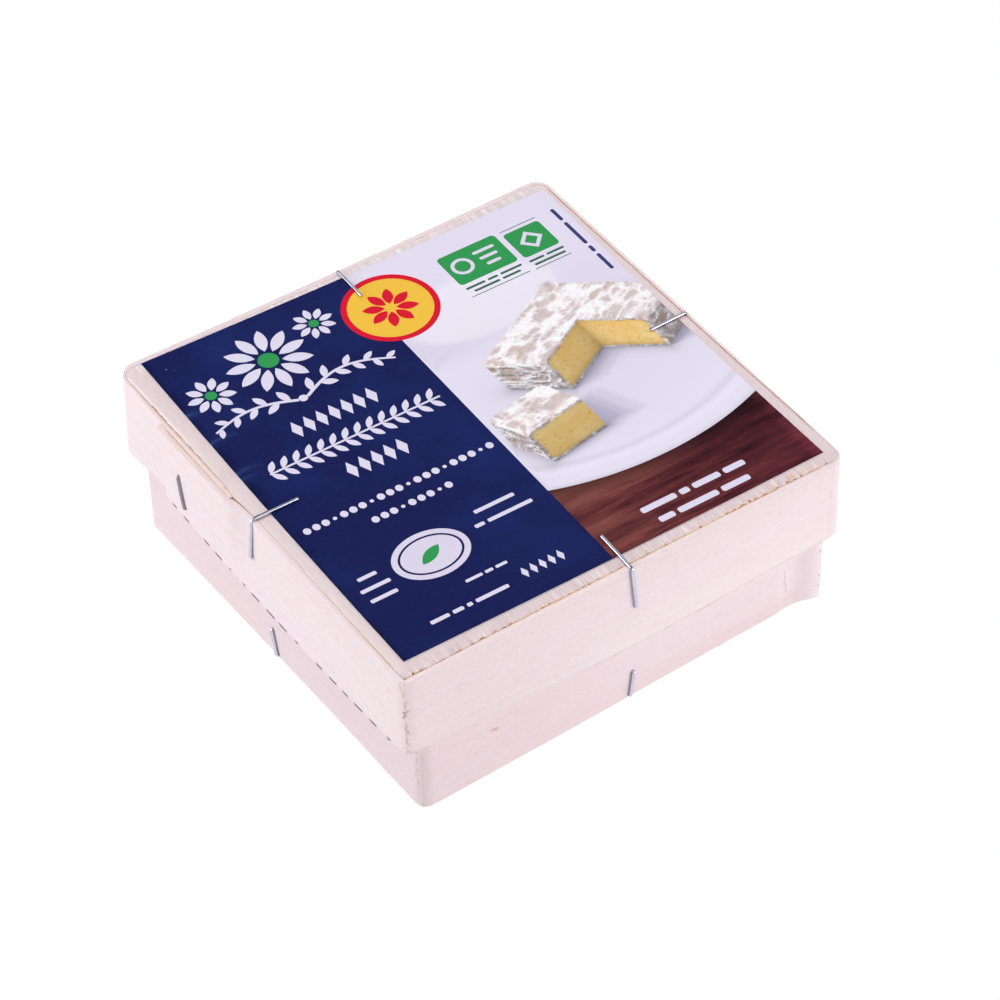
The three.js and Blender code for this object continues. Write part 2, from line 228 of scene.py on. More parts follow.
def make_mesh(name, co, faces, materials, face_mat=None, uv=None, stain_and_light=None, angle=38):
    """co in mm in the lid's frame. uv and the stain rows hold one row per vertex. The stain rows mix real marks with
    painted light: r brown and g tan are stains, b violet-grey is partly painted shadow, and a fourth, pale amount, kept
    as one minus alpha, is painted light.
    """
    me = bpy.data.meshes.new(name)
    co = to_metres(co)
    me.from_pydata([tuple(p) for p in co], [], faces)
    me.update()
    for m in materials:
        me.materials.append(m)
    if face_mat is not None:
        me.polygons.foreach_set("material_index", np.asarray(face_mat, np.int32))
    loops = np.zeros(len(me.loops), np.int32)
    me.loops.foreach_get("vertex_index", loops)
    if uv is not None:
        layer = me.uv_layers.new(name="grain")
        layer.data.foreach_set("uv", np.asarray(uv, np.float32)[loops].ravel())
    if stain_and_light is not None:
        att = me.color_attributes.new(name="stain_and_light", type="FLOAT_COLOR", domain="POINT")
        rgba = np.ones((len(co), 4), np.float32)
        stain_and_light = np.asarray(stain_and_light, np.float32)
        rgba[:, :3] = stain_and_light[:, :3]
        if stain_and_light.shape[1] > 3:
            rgba[:, 3] = 1 - stain_and_light[:, 3]
        att.data.foreach_set("color", rgba.ravel())
    me.polygons.foreach_set("use_smooth", np.ones(len(me.polygons), bool))
    me.set_sharp_from_angle(angle=math.radians(angle))
    me.validate()
    ob = bpy.data.objects.new(name, me)
    bpy.context.scene.collection.objects.link(ob)
    return ob


def turned(x, y, angle, centre):
    c, s = math.cos(angle), math.sin(angle)
    return x * c - y * s + centre[0], x * s + y * c + centre[1]


def strip(name, line, ds, station, section, material, place=None, uv_shift=0.0):
    """A strip of veneer. section(d, s) gives, for every station, the closed
    loop of its section: offsets out from the outline, heights, offsets along
    the strip, grain coordinates, and stains together with painted light and shade."""
    s = station(ds)
    out, z, along, v, stain_and_light = section(ds, s)
    n, k = out.shape
    tx, ty = -s["ny"], s["nx"]
    x = s["x"][:, None] + s["nx"][:, None] * out + tx[:, None] * along
    y = s["y"][:, None] + s["ny"][:, None] * out + ty[:, None] * along
    if place:
        x, y = place(x, y)
    co = np.stack([x, y, z], -1).reshape(-1, 3)
    idx = np.arange(n * k).reshape(n, k)
    a = idx[:-1, :]
    b = idx[1:, :]
    quads = np.stack([a, b, np.roll(b, -1, 1), np.roll(a, -1, 1)], -1).reshape(-1, 4)
    faces = [tuple(int(t) for t in q) for q in quads]
    faces.append(tuple(int(t) for t in idx[0]))
    faces.append(tuple(int(t) for t in idx[-1][::-1]))
    uv = np.stack([np.broadcast_to(ds[:, None] + uv_shift, (n, k)) + along, v], -1).reshape(-1, 2)
    return make_mesh(name, co, faces, [material], uv=uv, stain_and_light=stain_and_light.reshape(-1, stain_and_light.shape[-1]))


def near_lines(c, z, lines, width):
    """How deep a broken crack is at (c, z): lines hold (c, z, strength)."""
    best = np.zeros(np.broadcast(c, z).shape)
    for line in lines:
        for (c0, z0, s0), (c1, z1, s1) in zip(line[:-1], line[1:]):
            dx, dz = c1 - c0, z1 - z0
            t = np.clip(((c - c0) * dx + (z - z0) * dz) / (dx * dx + dz * dz), 0, 1)
            dist = np.hypot(c - c0 - t * dx, (z - z0 - t * dz))
            w = width * (0.7 + 0.6 * (s0 + (s1 - s0) * t))
            best = np.maximum(best, (s0 + (s1 - s0) * t) * np.clip(1 - dist / w, 0, 1) ** 0.8)
    return best


# ------------------------------------------------------------------- materials
class Tree:
    """Small helper for node materials."""

    def __init__(self, name):
        self.mat = bpy.data.materials.new(name)
        self.mat.use_nodes = True
        self.t = self.mat.node_tree
        self.t.nodes.clear()
        self.out = self.add("ShaderNodeOutputMaterial")
        self.bsdf = self.add("ShaderNodeBsdfPrincipled")
        self.t.links.new(self.bsdf.outputs[0], self.out.inputs[0])

    def add(self, kind, **props):
        n = self.t.nodes.new(kind)
        for k, v in props.items():
            setattr(n, k, v)
        return n

    def put(self, socket, value):
        if isinstance(value, bpy.types.NodeSocket):
            self.t.links.new(value, socket)
        elif isinstance(value, (tuple, list)) and len(value) == 3 and socket.type == "RGBA":
            socket.default_value = (*value, 1)
        else:
            socket.default_value = value

    def math(self, op, a, b=0.0, c=0.0, clamp=False):
        n = self.add("ShaderNodeMath", operation=op, use_clamp=clamp)
        for s, v in zip(n.inputs, (a, b, c)):
            self.put(s, v)
        return n.outputs[0]

    def mix(self, fac, a, b, mode="MIX"):
        n = self.add("ShaderNodeMix", data_type="RGBA", blend_type=mode)
        n.clamp_factor = True
        self.put(n.inputs[0], fac)
        self.put(n.inputs[6], a)
        self.put(n.inputs[7], b)
        return n.outputs[2]

    def scaled(self, vec, sx, sy, sz=1.0, loc=(0, 0, 0), rot=(0, 0, 0)):
        n = self.add("ShaderNodeMapping")
        n.inputs["Scale"].default_value = (sx, sy, sz)
        n.inputs["Location"].default_value = loc
        n.inputs["Rotation"].default_value = rot
        self.put(n.inputs["Vector"], vec)
        return n.outputs[0]

    def noise(self, vec, scale=1.0, detail=2.0, rough=0.5, distort=0.0):
        n = self.add("ShaderNodeTexNoise")
        self.put(n.inputs["Vector"], vec)
        n.inputs["Scale"].default_value = scale
        n.inputs["Detail"].default_value = detail
        n.inputs["Roughness"].default_value = rough
        n.inputs["Distortion"].default_value = distort
        return n.outputs["Fac"]

    def voronoi(self, vec, scale=1.0, feature="F1", randomness=1.0):
        n = self.add("ShaderNodeTexVoronoi", feature=feature)
        self.put(n.inputs["Vector"], vec)
        n.inputs["Scale"].default_value = scale
        n.inputs["Randomness"].default_value = randomness
        return n.outputs["Distance"]

    def range(self, v, a, b, c=0.0, d=1.0, smooth=False):
        n = self.add("ShaderNodeMapRange", interpolation_type="SMOOTHSTEP" if smooth else "LINEAR")
        self.put(n.inputs[0], v)
        for i, q in enumerate((a, b, c, d)):
            n.inputs[i + 1].default_value = q
        n.clamp = True
        return n.outputs[0]

    def bump(self, height, distance, strength=1.0, normal=None):
        n = self.add("ShaderNodeBump")
        n.inputs["Strength"].default_value = strength
        n.inputs["Distance"].default_value = distance
        self.put(n.inputs["Height"], height)
        if normal is not None:
            self.put(n.inputs["Normal"], normal)
        return n.outputs[0]

    def colour_attr(self, name):
        n = self.add("ShaderNodeAttribute", attribute_name=name)
        return n.outputs["Color"]

    def split(self, colour):
        n = self.add("ShaderNodeSeparateColor")
        self.put(n.inputs[0], colour)
        return n.outputs[0], n.outputs[1], n.outputs[2]


def wood(name, base, warm, cool, seed, across, stain_and_light=True, rough=0.78, grain=1.0, milk=(250, 240, 238)):
    """Raw peeled poplar. across = "uv" for a band, whose grain runs along its
    length, or "board" for a board, whose grain runs from front to back."""
    t = Tree(name)
    if across == "uv":
        uv = t.add("ShaderNodeUVMap", uv_map="grain").outputs[0]   # mm: along, across
        vec = t.scaled(uv, 1, 1, 1, loc=(seed * 13.7, seed * 5.3, seed))
    else:
        co = t.add("ShaderNodeTexCoord").outputs["Object"]
        vec = t.scaled(co, 1000, 1000, 1000, rot=(0, 0, math.radians(90)), loc=(seed * 13.7, seed * 5.3, seed))
    tone = t.noise(t.scaled(vec, 0.018, 0.09, 0.05), 1, 3, 0.55)
    cloud = t.noise(t.scaled(vec, 0.06, 0.11, 0.05, loc=(3, 8, 1)), 1, 4, 0.6)
    ribs = t.noise(t.scaled(vec, 0.03, 1.45, 0.5, loc=(1, 2, 3)), 1, 2, 0.5)
    fibre = t.noise(t.scaled(vec, 0.16, 4.6, 1.0, loc=(7, 1, 3)), 1, 3, 0.6)
    fine = t.noise(t.scaled(vec, 0.7, 11.0, 3.0, loc=(2, 5, 9)), 1, 2, 0.5)
    fuzz = t.noise(t.scaled(vec, 2.6, 3.9, 3.0, loc=(4, 4, 4)), 1, 2, 0.5)
    warm_fleck = t.range(t.noise(t.scaled(vec, 0.42, 1.15, 1.0, loc=(6, 2, 5)), 1, 3, 0.6), 0.50, 0.66, smooth=True)
    pale_fleck = t.range(t.noise(t.scaled(vec, 0.50, 1.30, 1.0, loc=(2, 7, 8)), 1, 3, 0.6), 0.52, 0.68, smooth=True)
    pores = t.range(t.noise(t.scaled(vec, 0.42, 6.5, 1.0, loc=(9, 3, 1)), 1, 1, 0.5), 0.66, 0.76, smooth=True)
    streak = t.range(t.noise(t.scaled(vec, 0.05, 1.2, 0.3, loc=(5, 9, 2)), 1, 2, 0.5), 0.60, 0.76, smooth=True)

    def shade(*q):
        return tuple(min(1.0, v * w) for v, w in zip(base, q))

    c = t.mix(t.range(tone, 0.36, 0.64), warm, cool)
    c = t.mix(t.range(cloud, 0.38, 0.66, 0.0, 0.55), c, base)
    if name == "poplar_lid_band":      # creamier along its upper edge
        v = t.add("ShaderNodeSeparateXYZ")
        t.put(v.inputs[0], uv)
        c = t.mix(t.math("MULTIPLY", t.range(v.outputs[1], 9.0, 20.0, smooth=True), 0.7), c, tuple(q * f for q, f in zip(base, (1.0, 0.975, 0.93))))
    c = t.mix(t.range(ribs, 0.34, 0.66, 0.0, 0.75), c, shade(0.955, 0.925, 0.915))
    c = t.mix(t.math("MULTIPLY", warm_fleck, 0.75), c, shade(1.0, 0.962, 0.905))
    c = t.mix(t.math("MULTIPLY", pale_fleck, 0.75), c, shade(1.06, 1.065, 1.08))
    c = t.mix(t.range(fibre, 0.35, 0.68, 0.0, 0.60 * grain), c, shade(0.925, 0.885, 0.905))
    c = t.mix(t.range(fine, 0.40, 0.72, 0.0, 0.42 * grain), c, shade(0.86, 0.81, 0.82))
    c = t.mix(t.range(fuzz, 0.45, 0.75, 0.0, 0.55), c, shade(1.07, 1.075, 1.075))
    c = t.mix(t.math("MULTIPLY", pores, 0.34 * grain), c, srgb(196, 164, 158))
    c = t.mix(t.math("MULTIPLY", streak, 0.26), c, srgb(222, 188, 166))
    rough_v = t.range(fibre, 0.3, 0.7, rough - 0.06, rough + 0.08)
    height = t.math("ADD", t.math("MULTIPLY", fibre, 0.6), t.math("MULTIPLY", fine, 0.35))
    height = t.math("ADD", height, t.math("MULTIPLY", ribs, 0.9))
    height = t.math("ADD", height, t.math("MULTIPLY", fuzz, 0.25))
    height = t.math("SUBTRACT", height, t.math("MULTIPLY", pores, 0.6))
    if stain_and_light:
        # the stain colours: r brown and g tan are stains, b violet-grey is partly painted shadow, and the pale amount
        # (one minus alpha) is painted light
        node = t.add("ShaderNodeAttribute", attribute_name="stain_and_light")
        r, g, b = t.split(node.outputs["Color"])
        pale = t.math("SUBTRACT", 1.0, node.outputs["Alpha"], clamp=True)
        broken = t.noise(t.scaled(vec, 1.9, 2.3, 1.5, loc=(1, 1, 7)), 1, 3, 0.6)
        # pale: painted light and painted highlights, mixed towards the milk colour
        c = t.mix(t.math("MULTIPLY", pale, 0.85), c, srgb(*milk))
        tan = t.math("MULTIPLY", g, t.range(broken, 0.25, 0.6, 0.45, 1.0), clamp=True)
        tan_c = t.mix(t.range(fibre, 0.35, 0.65), srgb(242, 214, 190), srgb(229, 187, 152))
        c = t.mix(tan, c, tan_c)
        brown = t.math("MULTIPLY", r, t.range(broken, 0.3, 0.62, 0.35, 1.15), clamp=True)
        brown_c = t.mix(t.range(fine, 0.3, 0.7), srgb(204, 156, 124), srgb(160, 110, 80))
        c = t.mix(brown, c, brown_c)
        # b: violet-grey, partly painted shadow (dashes under the lid's lower edge, grain ticks, the base's left face),
        # partly greyer wood and dirt
        c = t.mix(b, c, srgb(112, 92, 106))
        height = t.math("SUBTRACT", height, t.math("MULTIPLY", brown, 0.8))
    t.put(t.bsdf.inputs["Base Color"], c)
    t.put(t.bsdf.inputs["Roughness"], rough_v)
    t.bsdf.inputs["Specular IOR Level"].default_value = 0.25
    t.put(t.bsdf.inputs["Normal"], t.bump(height, 0.00008, 0.7))
    return t.mat


def steel(name, seed, light, dark, rough):
    """Drawn steel wire: uv is (along, round) in mm."""
    t = Tree(name)
    uv = t.add("ShaderNodeUVMap", uv_map="grain").outputs[0]
    vec = t.scaled(uv, 1, 1, 1, loc=(seed * 3.1, seed * 1.7, seed))
    draw = t.noise(t.scaled(vec, 0.12, 7.0), 1, 2, 0.5)
    dull = t.noise(t.scaled(vec, 0.35, 1.1, loc=(4, 2, 0)), 1, 3, 0.55)
    nick = t.range(t.noise(t.scaled(vec, 1.1, 2.2, loc=(1, 7, 0)), 1, 2, 0.5), 0.70, 0.76, smooth=True)
    c = t.mix(t.range(dull, 0.35, 0.7), light, dark)
    c = t.mix(t.range(draw, 0.45, 0.7, 0.0, 0.3), c, dark)
    c = t.mix(t.math("MULTIPLY", nick, 0.08), c, srgb(118, 116, 124))
    t.put(t.bsdf.inputs["Base Color"], c)
    t.bsdf.inputs["Metallic"].default_value = 1.0
    t.put(t.bsdf.inputs["Roughness"], t.range(dull, 0.3, 0.75, *rough))
    return t.mat


def printed_paper(name):
    """Coated paper. The corner attribute "ink" holds the printed colour and
    "motif" says what lies there: r printed wood, g the dark field, b a crease."""
    t = Tree(name)
    co = t.add("ShaderNodeTexCoord").outputs["Object"]
    mm = t.scaled(co, 1000, 1000, 1000)
    ink = t.colour_attr("ink")
    r, g, b = t.split(t.colour_attr("motif"))
    # printed table top: dark red-brown streaks along X
    w1 = t.noise(t.scaled(mm, 0.07, 0.66, 1, loc=(3, 1, 0)), 1, 5, 0.68, 0.6)
    w2 = t.noise(t.scaled(mm, 0.22, 2.6, 1, loc=(8, 4, 0)), 1, 4, 0.65)
    w3 = t.noise(t.scaled(mm, 0.03, 0.16, 1, loc=(1, 9, 0)), 1, 2, 0.5)
    woodc = t.mix(t.range(w1, 0.34, 0.66), srgb(66, 24, 36), srgb(140, 72, 66))
    woodc = t.mix(t.range(w2, 0.42, 0.64, 0.0, 0.6), woodc, srgb(88, 34, 44))
    woodc = t.mix(t.range(w3, 0.45, 0.66, 0.0, 0.6), woodc, srgb(156, 92, 82))
    c = t.mix(r, ink, t.mix(1.0, ink, woodc, "MULTIPLY"))
    # ink lies a little unevenly, with fine scuffs
    soft = t.noise(t.scaled(mm, 0.05, 0.05), 1, 4, 0.6)
    press = t.noise(t.scaled(mm, 1.7, 1.7), 1, 3, 0.6)
    c = t.mix(t.math("MULTIPLY", t.range(soft, 0.45, 0.75), g), c, srgb(22, 38, 98))
    c = t.mix(t.range(press, 0.4, 0.8, 0.0, 0.012), c, srgb(150, 160, 210))
    c = t.mix(t.math("MULTIPLY", b, t.range(soft, 0.3, 0.6, 0.5, 1.0)), c, srgb(62, 92, 150))
    t.put(t.bsdf.inputs["Base Color"], c)
    t.put(t.bsdf.inputs["Roughness"], t.range(press, 0.3, 0.7, 0.40, 0.52))
    t.bsdf.inputs["Specular IOR Level"].default_value = 0.06
    wave = t.noise(t.scaled(mm, 0.10, 0.13), 1, 3, 0.5)
    tooth = t.noise(t.scaled(mm, 5, 5), 1, 2, 0.5)
    n = t.bump(wave, 0.0003, 0.35)
    t.put(t.bsdf.inputs["Normal"], t.bump(tooth, 0.00001, 0.6, n))
    return t.mat


def paper_edge(name):
    t = Tree(name)
    co = t.add("ShaderNodeTexCoord").outputs["Object"]
    n = t.noise(t.scaled(co, 900, 900, 900), 1, 3, 0.6)
    t.put(t.bsdf.inputs["Base Color"], t.mix(t.range(n, 0.3, 0.7), srgb(226, 222, 230), srgb(240, 238, 242)))
    t.bsdf.inputs["Roughness"].default_value = 0.8
    t.put(t.bsdf.inputs["Normal"], t.bump(n, 0.00002, 0.5))
    return t.mat


band_mat_lid = wood("poplar_lid_band", srgb(238, 224, 229), srgb(240, 227, 225), srgb(236, 223, 231), 1, "uv", milk=(251, 240, 243))
band_mat_base = wood("poplar_base_band", srgb(237, 219, 225), srgb(240, 221, 221), srgb(234, 217, 226), 5, "uv", grain=1.25, milk=(252, 239, 246))
board_mat_lid = wood("poplar_lid_board", srgb(223, 208, 211), srgb(227, 210, 208), srgb(219, 205, 211), 3, "board", grain=1.6)
board_mat_base = wood("poplar_base_board", srgb(229, 212, 215), srgb(233, 215, 212), srgb(225, 208, 214), 8, "board", grain=1.2)
steel_mat = steel("staple_steel", 1, srgb(212, 213, 228), srgb(196, 197, 212), (0.16, 0.22))
steel_dull = steel("staple_steel_dull", 2, srgb(172, 166, 178), srgb(150, 144, 156), (0.34, 0.48))
# the base's seam staple uses a pale, half-metal copy of the steel; its wood-like colour stands in for the wire's bright
# reflection: painted light
steel_painted_pale = steel("staple_steel_painted_pale", 3, srgb(236, 225, 231), srgb(230, 218, 224), (0.62, 0.72))
steel_painted_pale.node_tree.nodes["Principled BSDF"].inputs["Metallic"].default_value = 0.4
label_mat = printed_paper("printed_paper")
edge_mat = paper_edge("paper_edge")

# ---------------------------------------------------------------- the lid band
lid_line = Outline(LID_CORNERS, LID_RADII)
D_LID_FREE = lid_line.where(3, 34)
D_LID_END = lid_line.where(3, 8.6) + lid_line.total


def lid_shift(d, s, z):
    """How far the band's outer face stands out from the outline at height z."""
    side, w = s["side"], s["w"]
    outer = d < D_LID_FREE + 120
    lap = np.where((side == 3) & outer, (VENEER + PLY_GAP) * ease(s["y"], 1.0, 9.0), 0.0)
    top = lap + w * LID_BOW[side] - corner_pull(s)
    left = np.where(outer, FLARE[3] * w ** 0.75, np.where(w > 0, -0.72 * (1 - ease(s["y"], 35, 49)), 0.0))
    foot = np.where(side == 3, left, FLARE[side] * w ** 1.5)
    k = np.clip((BOX_H - z) / SKIRT, 0, 1) ** 1.3
    return top[:, None] * (1 - k) + foot[:, None] * k


def right_room(s):
    """How far the board reaches out beyond its plain outline on the right,
    where the veneer's top edge is thinner."""
    r = np.interp(s["y"], [-50, -44, -36, -28, -20, -12, -4, 5, 50], [0.99, 0.99, 0.92, 0.78, 0.66, 0.58, 0.5, 0.47, 0.45])
    return np.where((s["side"] == 1) & ~s["arc"], r, r * np.clip(s["nx"], 0, 1) ** 1.6 * s["arc"])


def left_room(s):
    """The same on the left, a little, and more where the lap opens."""
    r = np.interp(s["y"], [-50, -20, -12, -2, 2, 5, 8, 10, 12, 49], [0.12, 0.10, 0.03, 0, 0.05, 0.18, 0.42, 0.30, 0.15, 0.15])
    plain = (s["side"] == 3) & ~s["arc"]
    back = (s["side"] == 3) & s["arc"]
    near = (s["side"] == 0) & s["arc"]
    return np.where(plain, r, np.where(back, 0.15 * np.clip(-s["nx"], 0, 1), np.where(near, 0.12 * np.clip(-s["nx"], 0, 1) ** 1.5, 0.0)))


def front_room(s):
    """At the front the board's edge lies a little further in, in the middle."""
    r = np.interp(s["x"], [-49, -44, -28, -4, 10, 30, 46], [0, 0.02, 0.18, 0.26, 0.24, 0.18, 0])
    return np.where((s["side"] == 0) & ~s["arc"], -r, 0.0)


def corner_pull(s):
    """The bend at the back left corner is tighter at the top."""
    mid = 2 * np.abs(s["nx"] * s["ny"])
    return np.where(s["side"] != 3, 0.0, np.where(s["arc"], 0.30 * s["nx"] ** 2 + 0.42 * mid, 0.30 * ease(s["y"], 38, 49)))


LID_FOLD, BASE_FOLD = 0.42, 0.22


def fold(c, r):
    """How far a plain square corner stands out from its arc, c mm from the
    middle of the arc; a share of it makes the bend a fold with a crease."""
    t = np.clip(np.abs(np.asarray(c, float)) / r, 0, math.pi / 4)
    crease = np.sqrt(t * t + 0.10 ** 2) - 0.10 * np.exp(-t / 0.2)
    crease = np.clip(crease, 0, math.pi / 4)
    return r * (1 / np.cos(math.pi / 4 - crease) - 1)


# the cracked bend at the front left corner, as (across, height, strength)
def crack_points(rows, x0, y0, z0, kx=0.024, kz=0.0263):
    return [[((cx - x0) * kx, z0 - (cy - y0) * kz, s) for cx, cy, s in row] for row in rows]


LID_CRACK = crack_points([
    [(418, 400, .35), (430, 460, .5), (452, 505, .5), (438, 530, .4)],
    [(475, 568, .4), (455, 588, .4), (460, 640, .35)],
    [(480, 668, .8), (440, 690, 1.0), (462, 706, .9), (446, 725, .8), (440, 752, .9)],
    [(450, 805, .5), (466, 835, .4), (448, 860, .5), (472, 885, .8), (460, 912, .5), (492, 912, .5)],
    [(460, 945, .3), (455, 985, .35), (470, 1020, .4), (480, 1042, .3)],
    [(462, 1085, .45), (486, 1112, .35)],
], 455, 385, 38.9)
BASE_CRACK = crack_points([
    [(545, 1108, .4), (578, 1102, .35)],
    [(545, 1150, .4), (566, 1186, .5), (545, 1202, .4)],
    [(550, 1248, .5), (556, 1300, .5), (530, 1326, .3)],
    [(566, 1368, .45), (536, 1418, .6), (547, 1442, .4)],
    [(556, 1480, .45), (562, 1530, .5)],
    [(545, 1560, .5), (590, 1556, .35)],
    [(548, 1600, .4), (556, 1650, .5), (540, 1690, .3)],
    [(556, 1730, .4), (548, 1770, .35)],
], 550, 1108, 17.3)
# low down the crack bends back to the middle of the corner
BASE_CRACK = [[(cc - 1.1 * float(ease(zz, 0.3, 3.6)), zz, ss) for cc, zz, ss in row] for row in BASE_CRACK]


# painted shadow dashes along the lid's lower edge on the left, where the gap under it shows: from y to y
FOOT_SHADOW_DASHES = [(31.65, 29.85), (27.2, 25.0), (19.2, 17.0), (14.9, 12.1), (9.5, 8.7), (4.3, 3.3), (1.0, -1.8), (-4.4, -7.4),
               (-8.9, -11.7), (-14.7, -15.9), (-22.0, -24.2), (-26.6, -29.1), (-31.1, -32.9), (-34.9, -38.0), (-40.2, -42.6),
               (-45.9, -47.1)]


def lid_section(d, s):
    n = len(d)
    side, w, y = s["side"], s["w"], s["y"]
    outer_ply = d < D_LID_FREE + 120
    under = (d > D_LID_END - 34)
    z0, z1 = BOX_H - SKIRT, BOX_H
    rows = np.concatenate([[z0 + 0.13], np.arange(z0 + 0.58, z1 - 0.3, 0.25), [z1 - 0.16]])
    corner = lid_line.arc_mid(0)
    c = np.where(np.abs(d - corner) < 20, d - corner, d - corner - lid_line.total)[:, None]
    cols = []          # (out, z, along, v, r, g, b)

    ragged = 0.05 * fbm(d * 1.1, 0.5, 21) + 0.035 * noise(d * 3.7, 0.5, 22)
    foot_rag = 0.05 * fbm(d * 0.35, 1.5, 31) + 0.03 * noise(d * 2.9, 3.5, 32)
    wave = -0.05 + 0.05 * fbm(d / 17.0, 0.3, 41)
    lap = (side == 3) & outer_ply & (w > 0)
    slim = right_room(s)
    beside = left_room(s) * np.where(lap & (y > 8.5), 0.0, 1.0) + front_room(s)
    reach = VENEER + np.where(lap, PLY_GAP - 0.01, 0.0) - slim - beside - corner_pull(s)
    # past the inner ply's end the outer one is as thick as the room it leaves, but for a crack
    thick_to = np.clip((8.5 - y) / 0.3, 0, 1) * lap
    crack_w = 0.10 * ease(y, 0.5, 2.5) + 0.09 * ease(y, 3.0, 6.0) + 0.10 * np.exp(-((y - 7.8) / 0.6) ** 2)
    filled = VENEER + (VENEER + PLY_GAP) * ease(y, 1.0, 9.0) - left_room(s) - crack_w
    reach = reach * (1 - thick_to) + filled * thick_to
    sc = np.minimum(1.0, reach / VENEER)
    shut = ease(-y, 39, 43) * (slim > 0.3)          # no gap left near the front right corner
    east = (slim > 0).astype(float) * (1 - shut)
    bevel = np.where(lap, 0.30 * ease(y, 4.5, 9) * (1 - ease(y, 29, 34)), 0.0)
    bevel = bevel * (0.8 + 0.35 * noise(d * 0.9, 7.7, 23))
    sunk = np.where(under, 0.03 + 0.06 * np.abs(fbm(d * 1.3, 2.2, 24)) + 0.07 * (1 - ease(y, 8.6, 10)), 0.0)
    zero = np.zeros(n)

    def col(out, z, v, r=0.0, g=0.0, b=0.0, along=0.0, p=0.0):
        cols.append([np.broadcast_to(np.asarray(q, float), (n,)) for q in (out, z, along, v, r, g, b, p)])

    # underside and lower arris; here and there the arris carries painted shadow of the gap under it, in dashes on the
    # left and faintly elsewhere
    foot_out = lid_shift(d, s, np.full((1, 1), z0))[:, 0] + wave + LID_FOLD * fold(c[:, 0], LID_RADII[0])
    left = (side == 3) & outer_ply & (w > 0)
    shadow_dash = np.zeros(n)
    wander = 0.12 * noise(d * 2.3, 0.2, 52)
    for hi, lo in FOOT_SHADOW_DASHES:
        shadow_dash = np.maximum(shadow_dash, np.clip(((hi + 0.1 - lo) / 2 + wander - np.abs(y - (hi + lo) / 2)) / 0.22, 0, 1))
    shadow_dash = np.where(left, np.clip(shadow_dash * (1.05 + 0.12 * noise(d * 1.3, 4.4, 51)), 0, 1), 0.0)
    # a faint painted shadow under the lid's lower edge on all sides but the left
    front_edge_shadow = np.where(side != 3, 0.10 * ease(noise(d * 0.5, 9.5, 53), -0.2, 0.4), 0)
    edge_shadow = np.clip(shadow_dash + front_edge_shadow, 0, 1)
    zb = z0 + foot_rag - 0.20 * shadow_dash
    col(foot_out - VENEER * 0.5, zb, -0.6, 0.1, 0.2, edge_shadow * 0.6)
    col(foot_out - 0.14, zb, -0.2, 0.15, 0.2, edge_shadow)
    col(foot_out - 0.04, zb + 0.04, -0.05, 0.1, 0.1, edge_shadow)
    col(foot_out, zb + 0.16, 0.15, 0, 0, edge_shadow)
    col(foot_out, np.minimum(zb + 0.56, z0 + 0.54), 0.50, 0, 0, edge_shadow)
    col(foot_out, np.minimum(zb + 0.64, z0 + 0.575), 0.56, 0, 0, edge_shadow * 0.35)
    first_rows = True
    for z in rows[1:-1]:
        zz = np.full(n, z)
        o = lid_shift(d, s, np.full((1, 1), z))[:, 0] + wave
        near = np.abs(c[:, 0]) < 3
        crack = np.zeros(n)
        if near.any():
            crack[near] = near_lines(c[near, 0], np.full(near.sum(), z), LID_CRACK, 0.16)
        soft = np.exp(-(c[:, 0] / 0.35) ** 2)
        o = o + LID_FOLD * fold(c[:, 0], LID_RADII[0]) - 0.16 * crack
        # the face is pushed in a little where a prong goes in
        for side_i, along_i, z_i in LID_PRONGS:
            dd = d - lid_line.where(side_i, along_i)
            o = o - 0.12 * np.exp(-(dd ** 2 + (z - z_i) ** 2) / 0.3)
        # painted light on the lid's front face: paler towards its lower part and its right
        painted_light = np.interp(z, [20, 22, 26, 31, 36, 38], [0.35, 0.34, 0.24, 0.19, 0.09, 0.0]) * (side == 0) * ease(s["x"], -44, 2) * (1 - ease(s["nx"], 0.2, 0.95))
        col(o, zz, z - z0, np.clip(crack * 1.35, 0, 1), np.clip(0.25 * soft * (crack > 0.02), 0, 1), p=painted_light)
        first_rows = False
    top_out = lid_shift(d, s, np.full((1, 1), z1))[:, 0] + wave + LID_FOLD * fold(c[:, 0], LID_RADII[0])
    zt = z1 + ragged - sunk
    under_f = under.astype(float)
    # the top edge: outer arris, cut face, inner arris
    corner_f = np.exp(-(c[:, 0] / 1.6) ** 2)
    tear = 0.5 + 0.5 * noise(d * 1.7, 0.9, 25)
    gap_r = ease(fbm(d * 0.9, 5.5, 26) + 0.25, -0.1, 0.5)
    on_left = ((side == 3) & (w > 0)).astype(float)
    front = ((side == 0) & (w > 0)).astype(float)
    back = ((side == 2) & (w > 0)).astype(float)
    right = ((side == 1) & (w > 0)).astype(float)
    arc_f = s["arc"].astype(float)
    rear = np.clip(back + arc_f * (side == 2) * np.clip(1.4 * s["ny"] - 0.2, 0, 1) + arc_f * (side == 3) * (s["nx"] > -0.985), 0, 1)
    tan_top = 0.08 - 0.06 * rear + 0.16 * front + (0.04 + 0.20 * lap * ease(y, 13, 22)) * on_left + 0.18 * under_f + 0.22 * bevel
    line = np.where(lap, ease(y, 8.2, 10) * (1 - ease(y, 30.5, 32.5)), 0.0)      # the slit between the plies
    hole = 0.8 * np.exp(-((y - 7.9) / 0.6) ** 2) * on_left * (lap.astype(float))
    crack_l = np.clip((7.9 - y) / 1.2, 0, 1) * ease(y, 0.4, 5.5) * on_left * lap.astype(float)   # runs on from the hole
    seg = ease(fbm(d * 0.45, 9.5, 27) + 0.3, -0.05, 0.35)
    strong = np.interp(y, [9, 14, 20, 26, 31, 33], [0.12, 0.22, 0.6, 0.8, 1.0, 0.4])
    inner_l = on_left * (~outer_ply)           # the ply that lies against the board
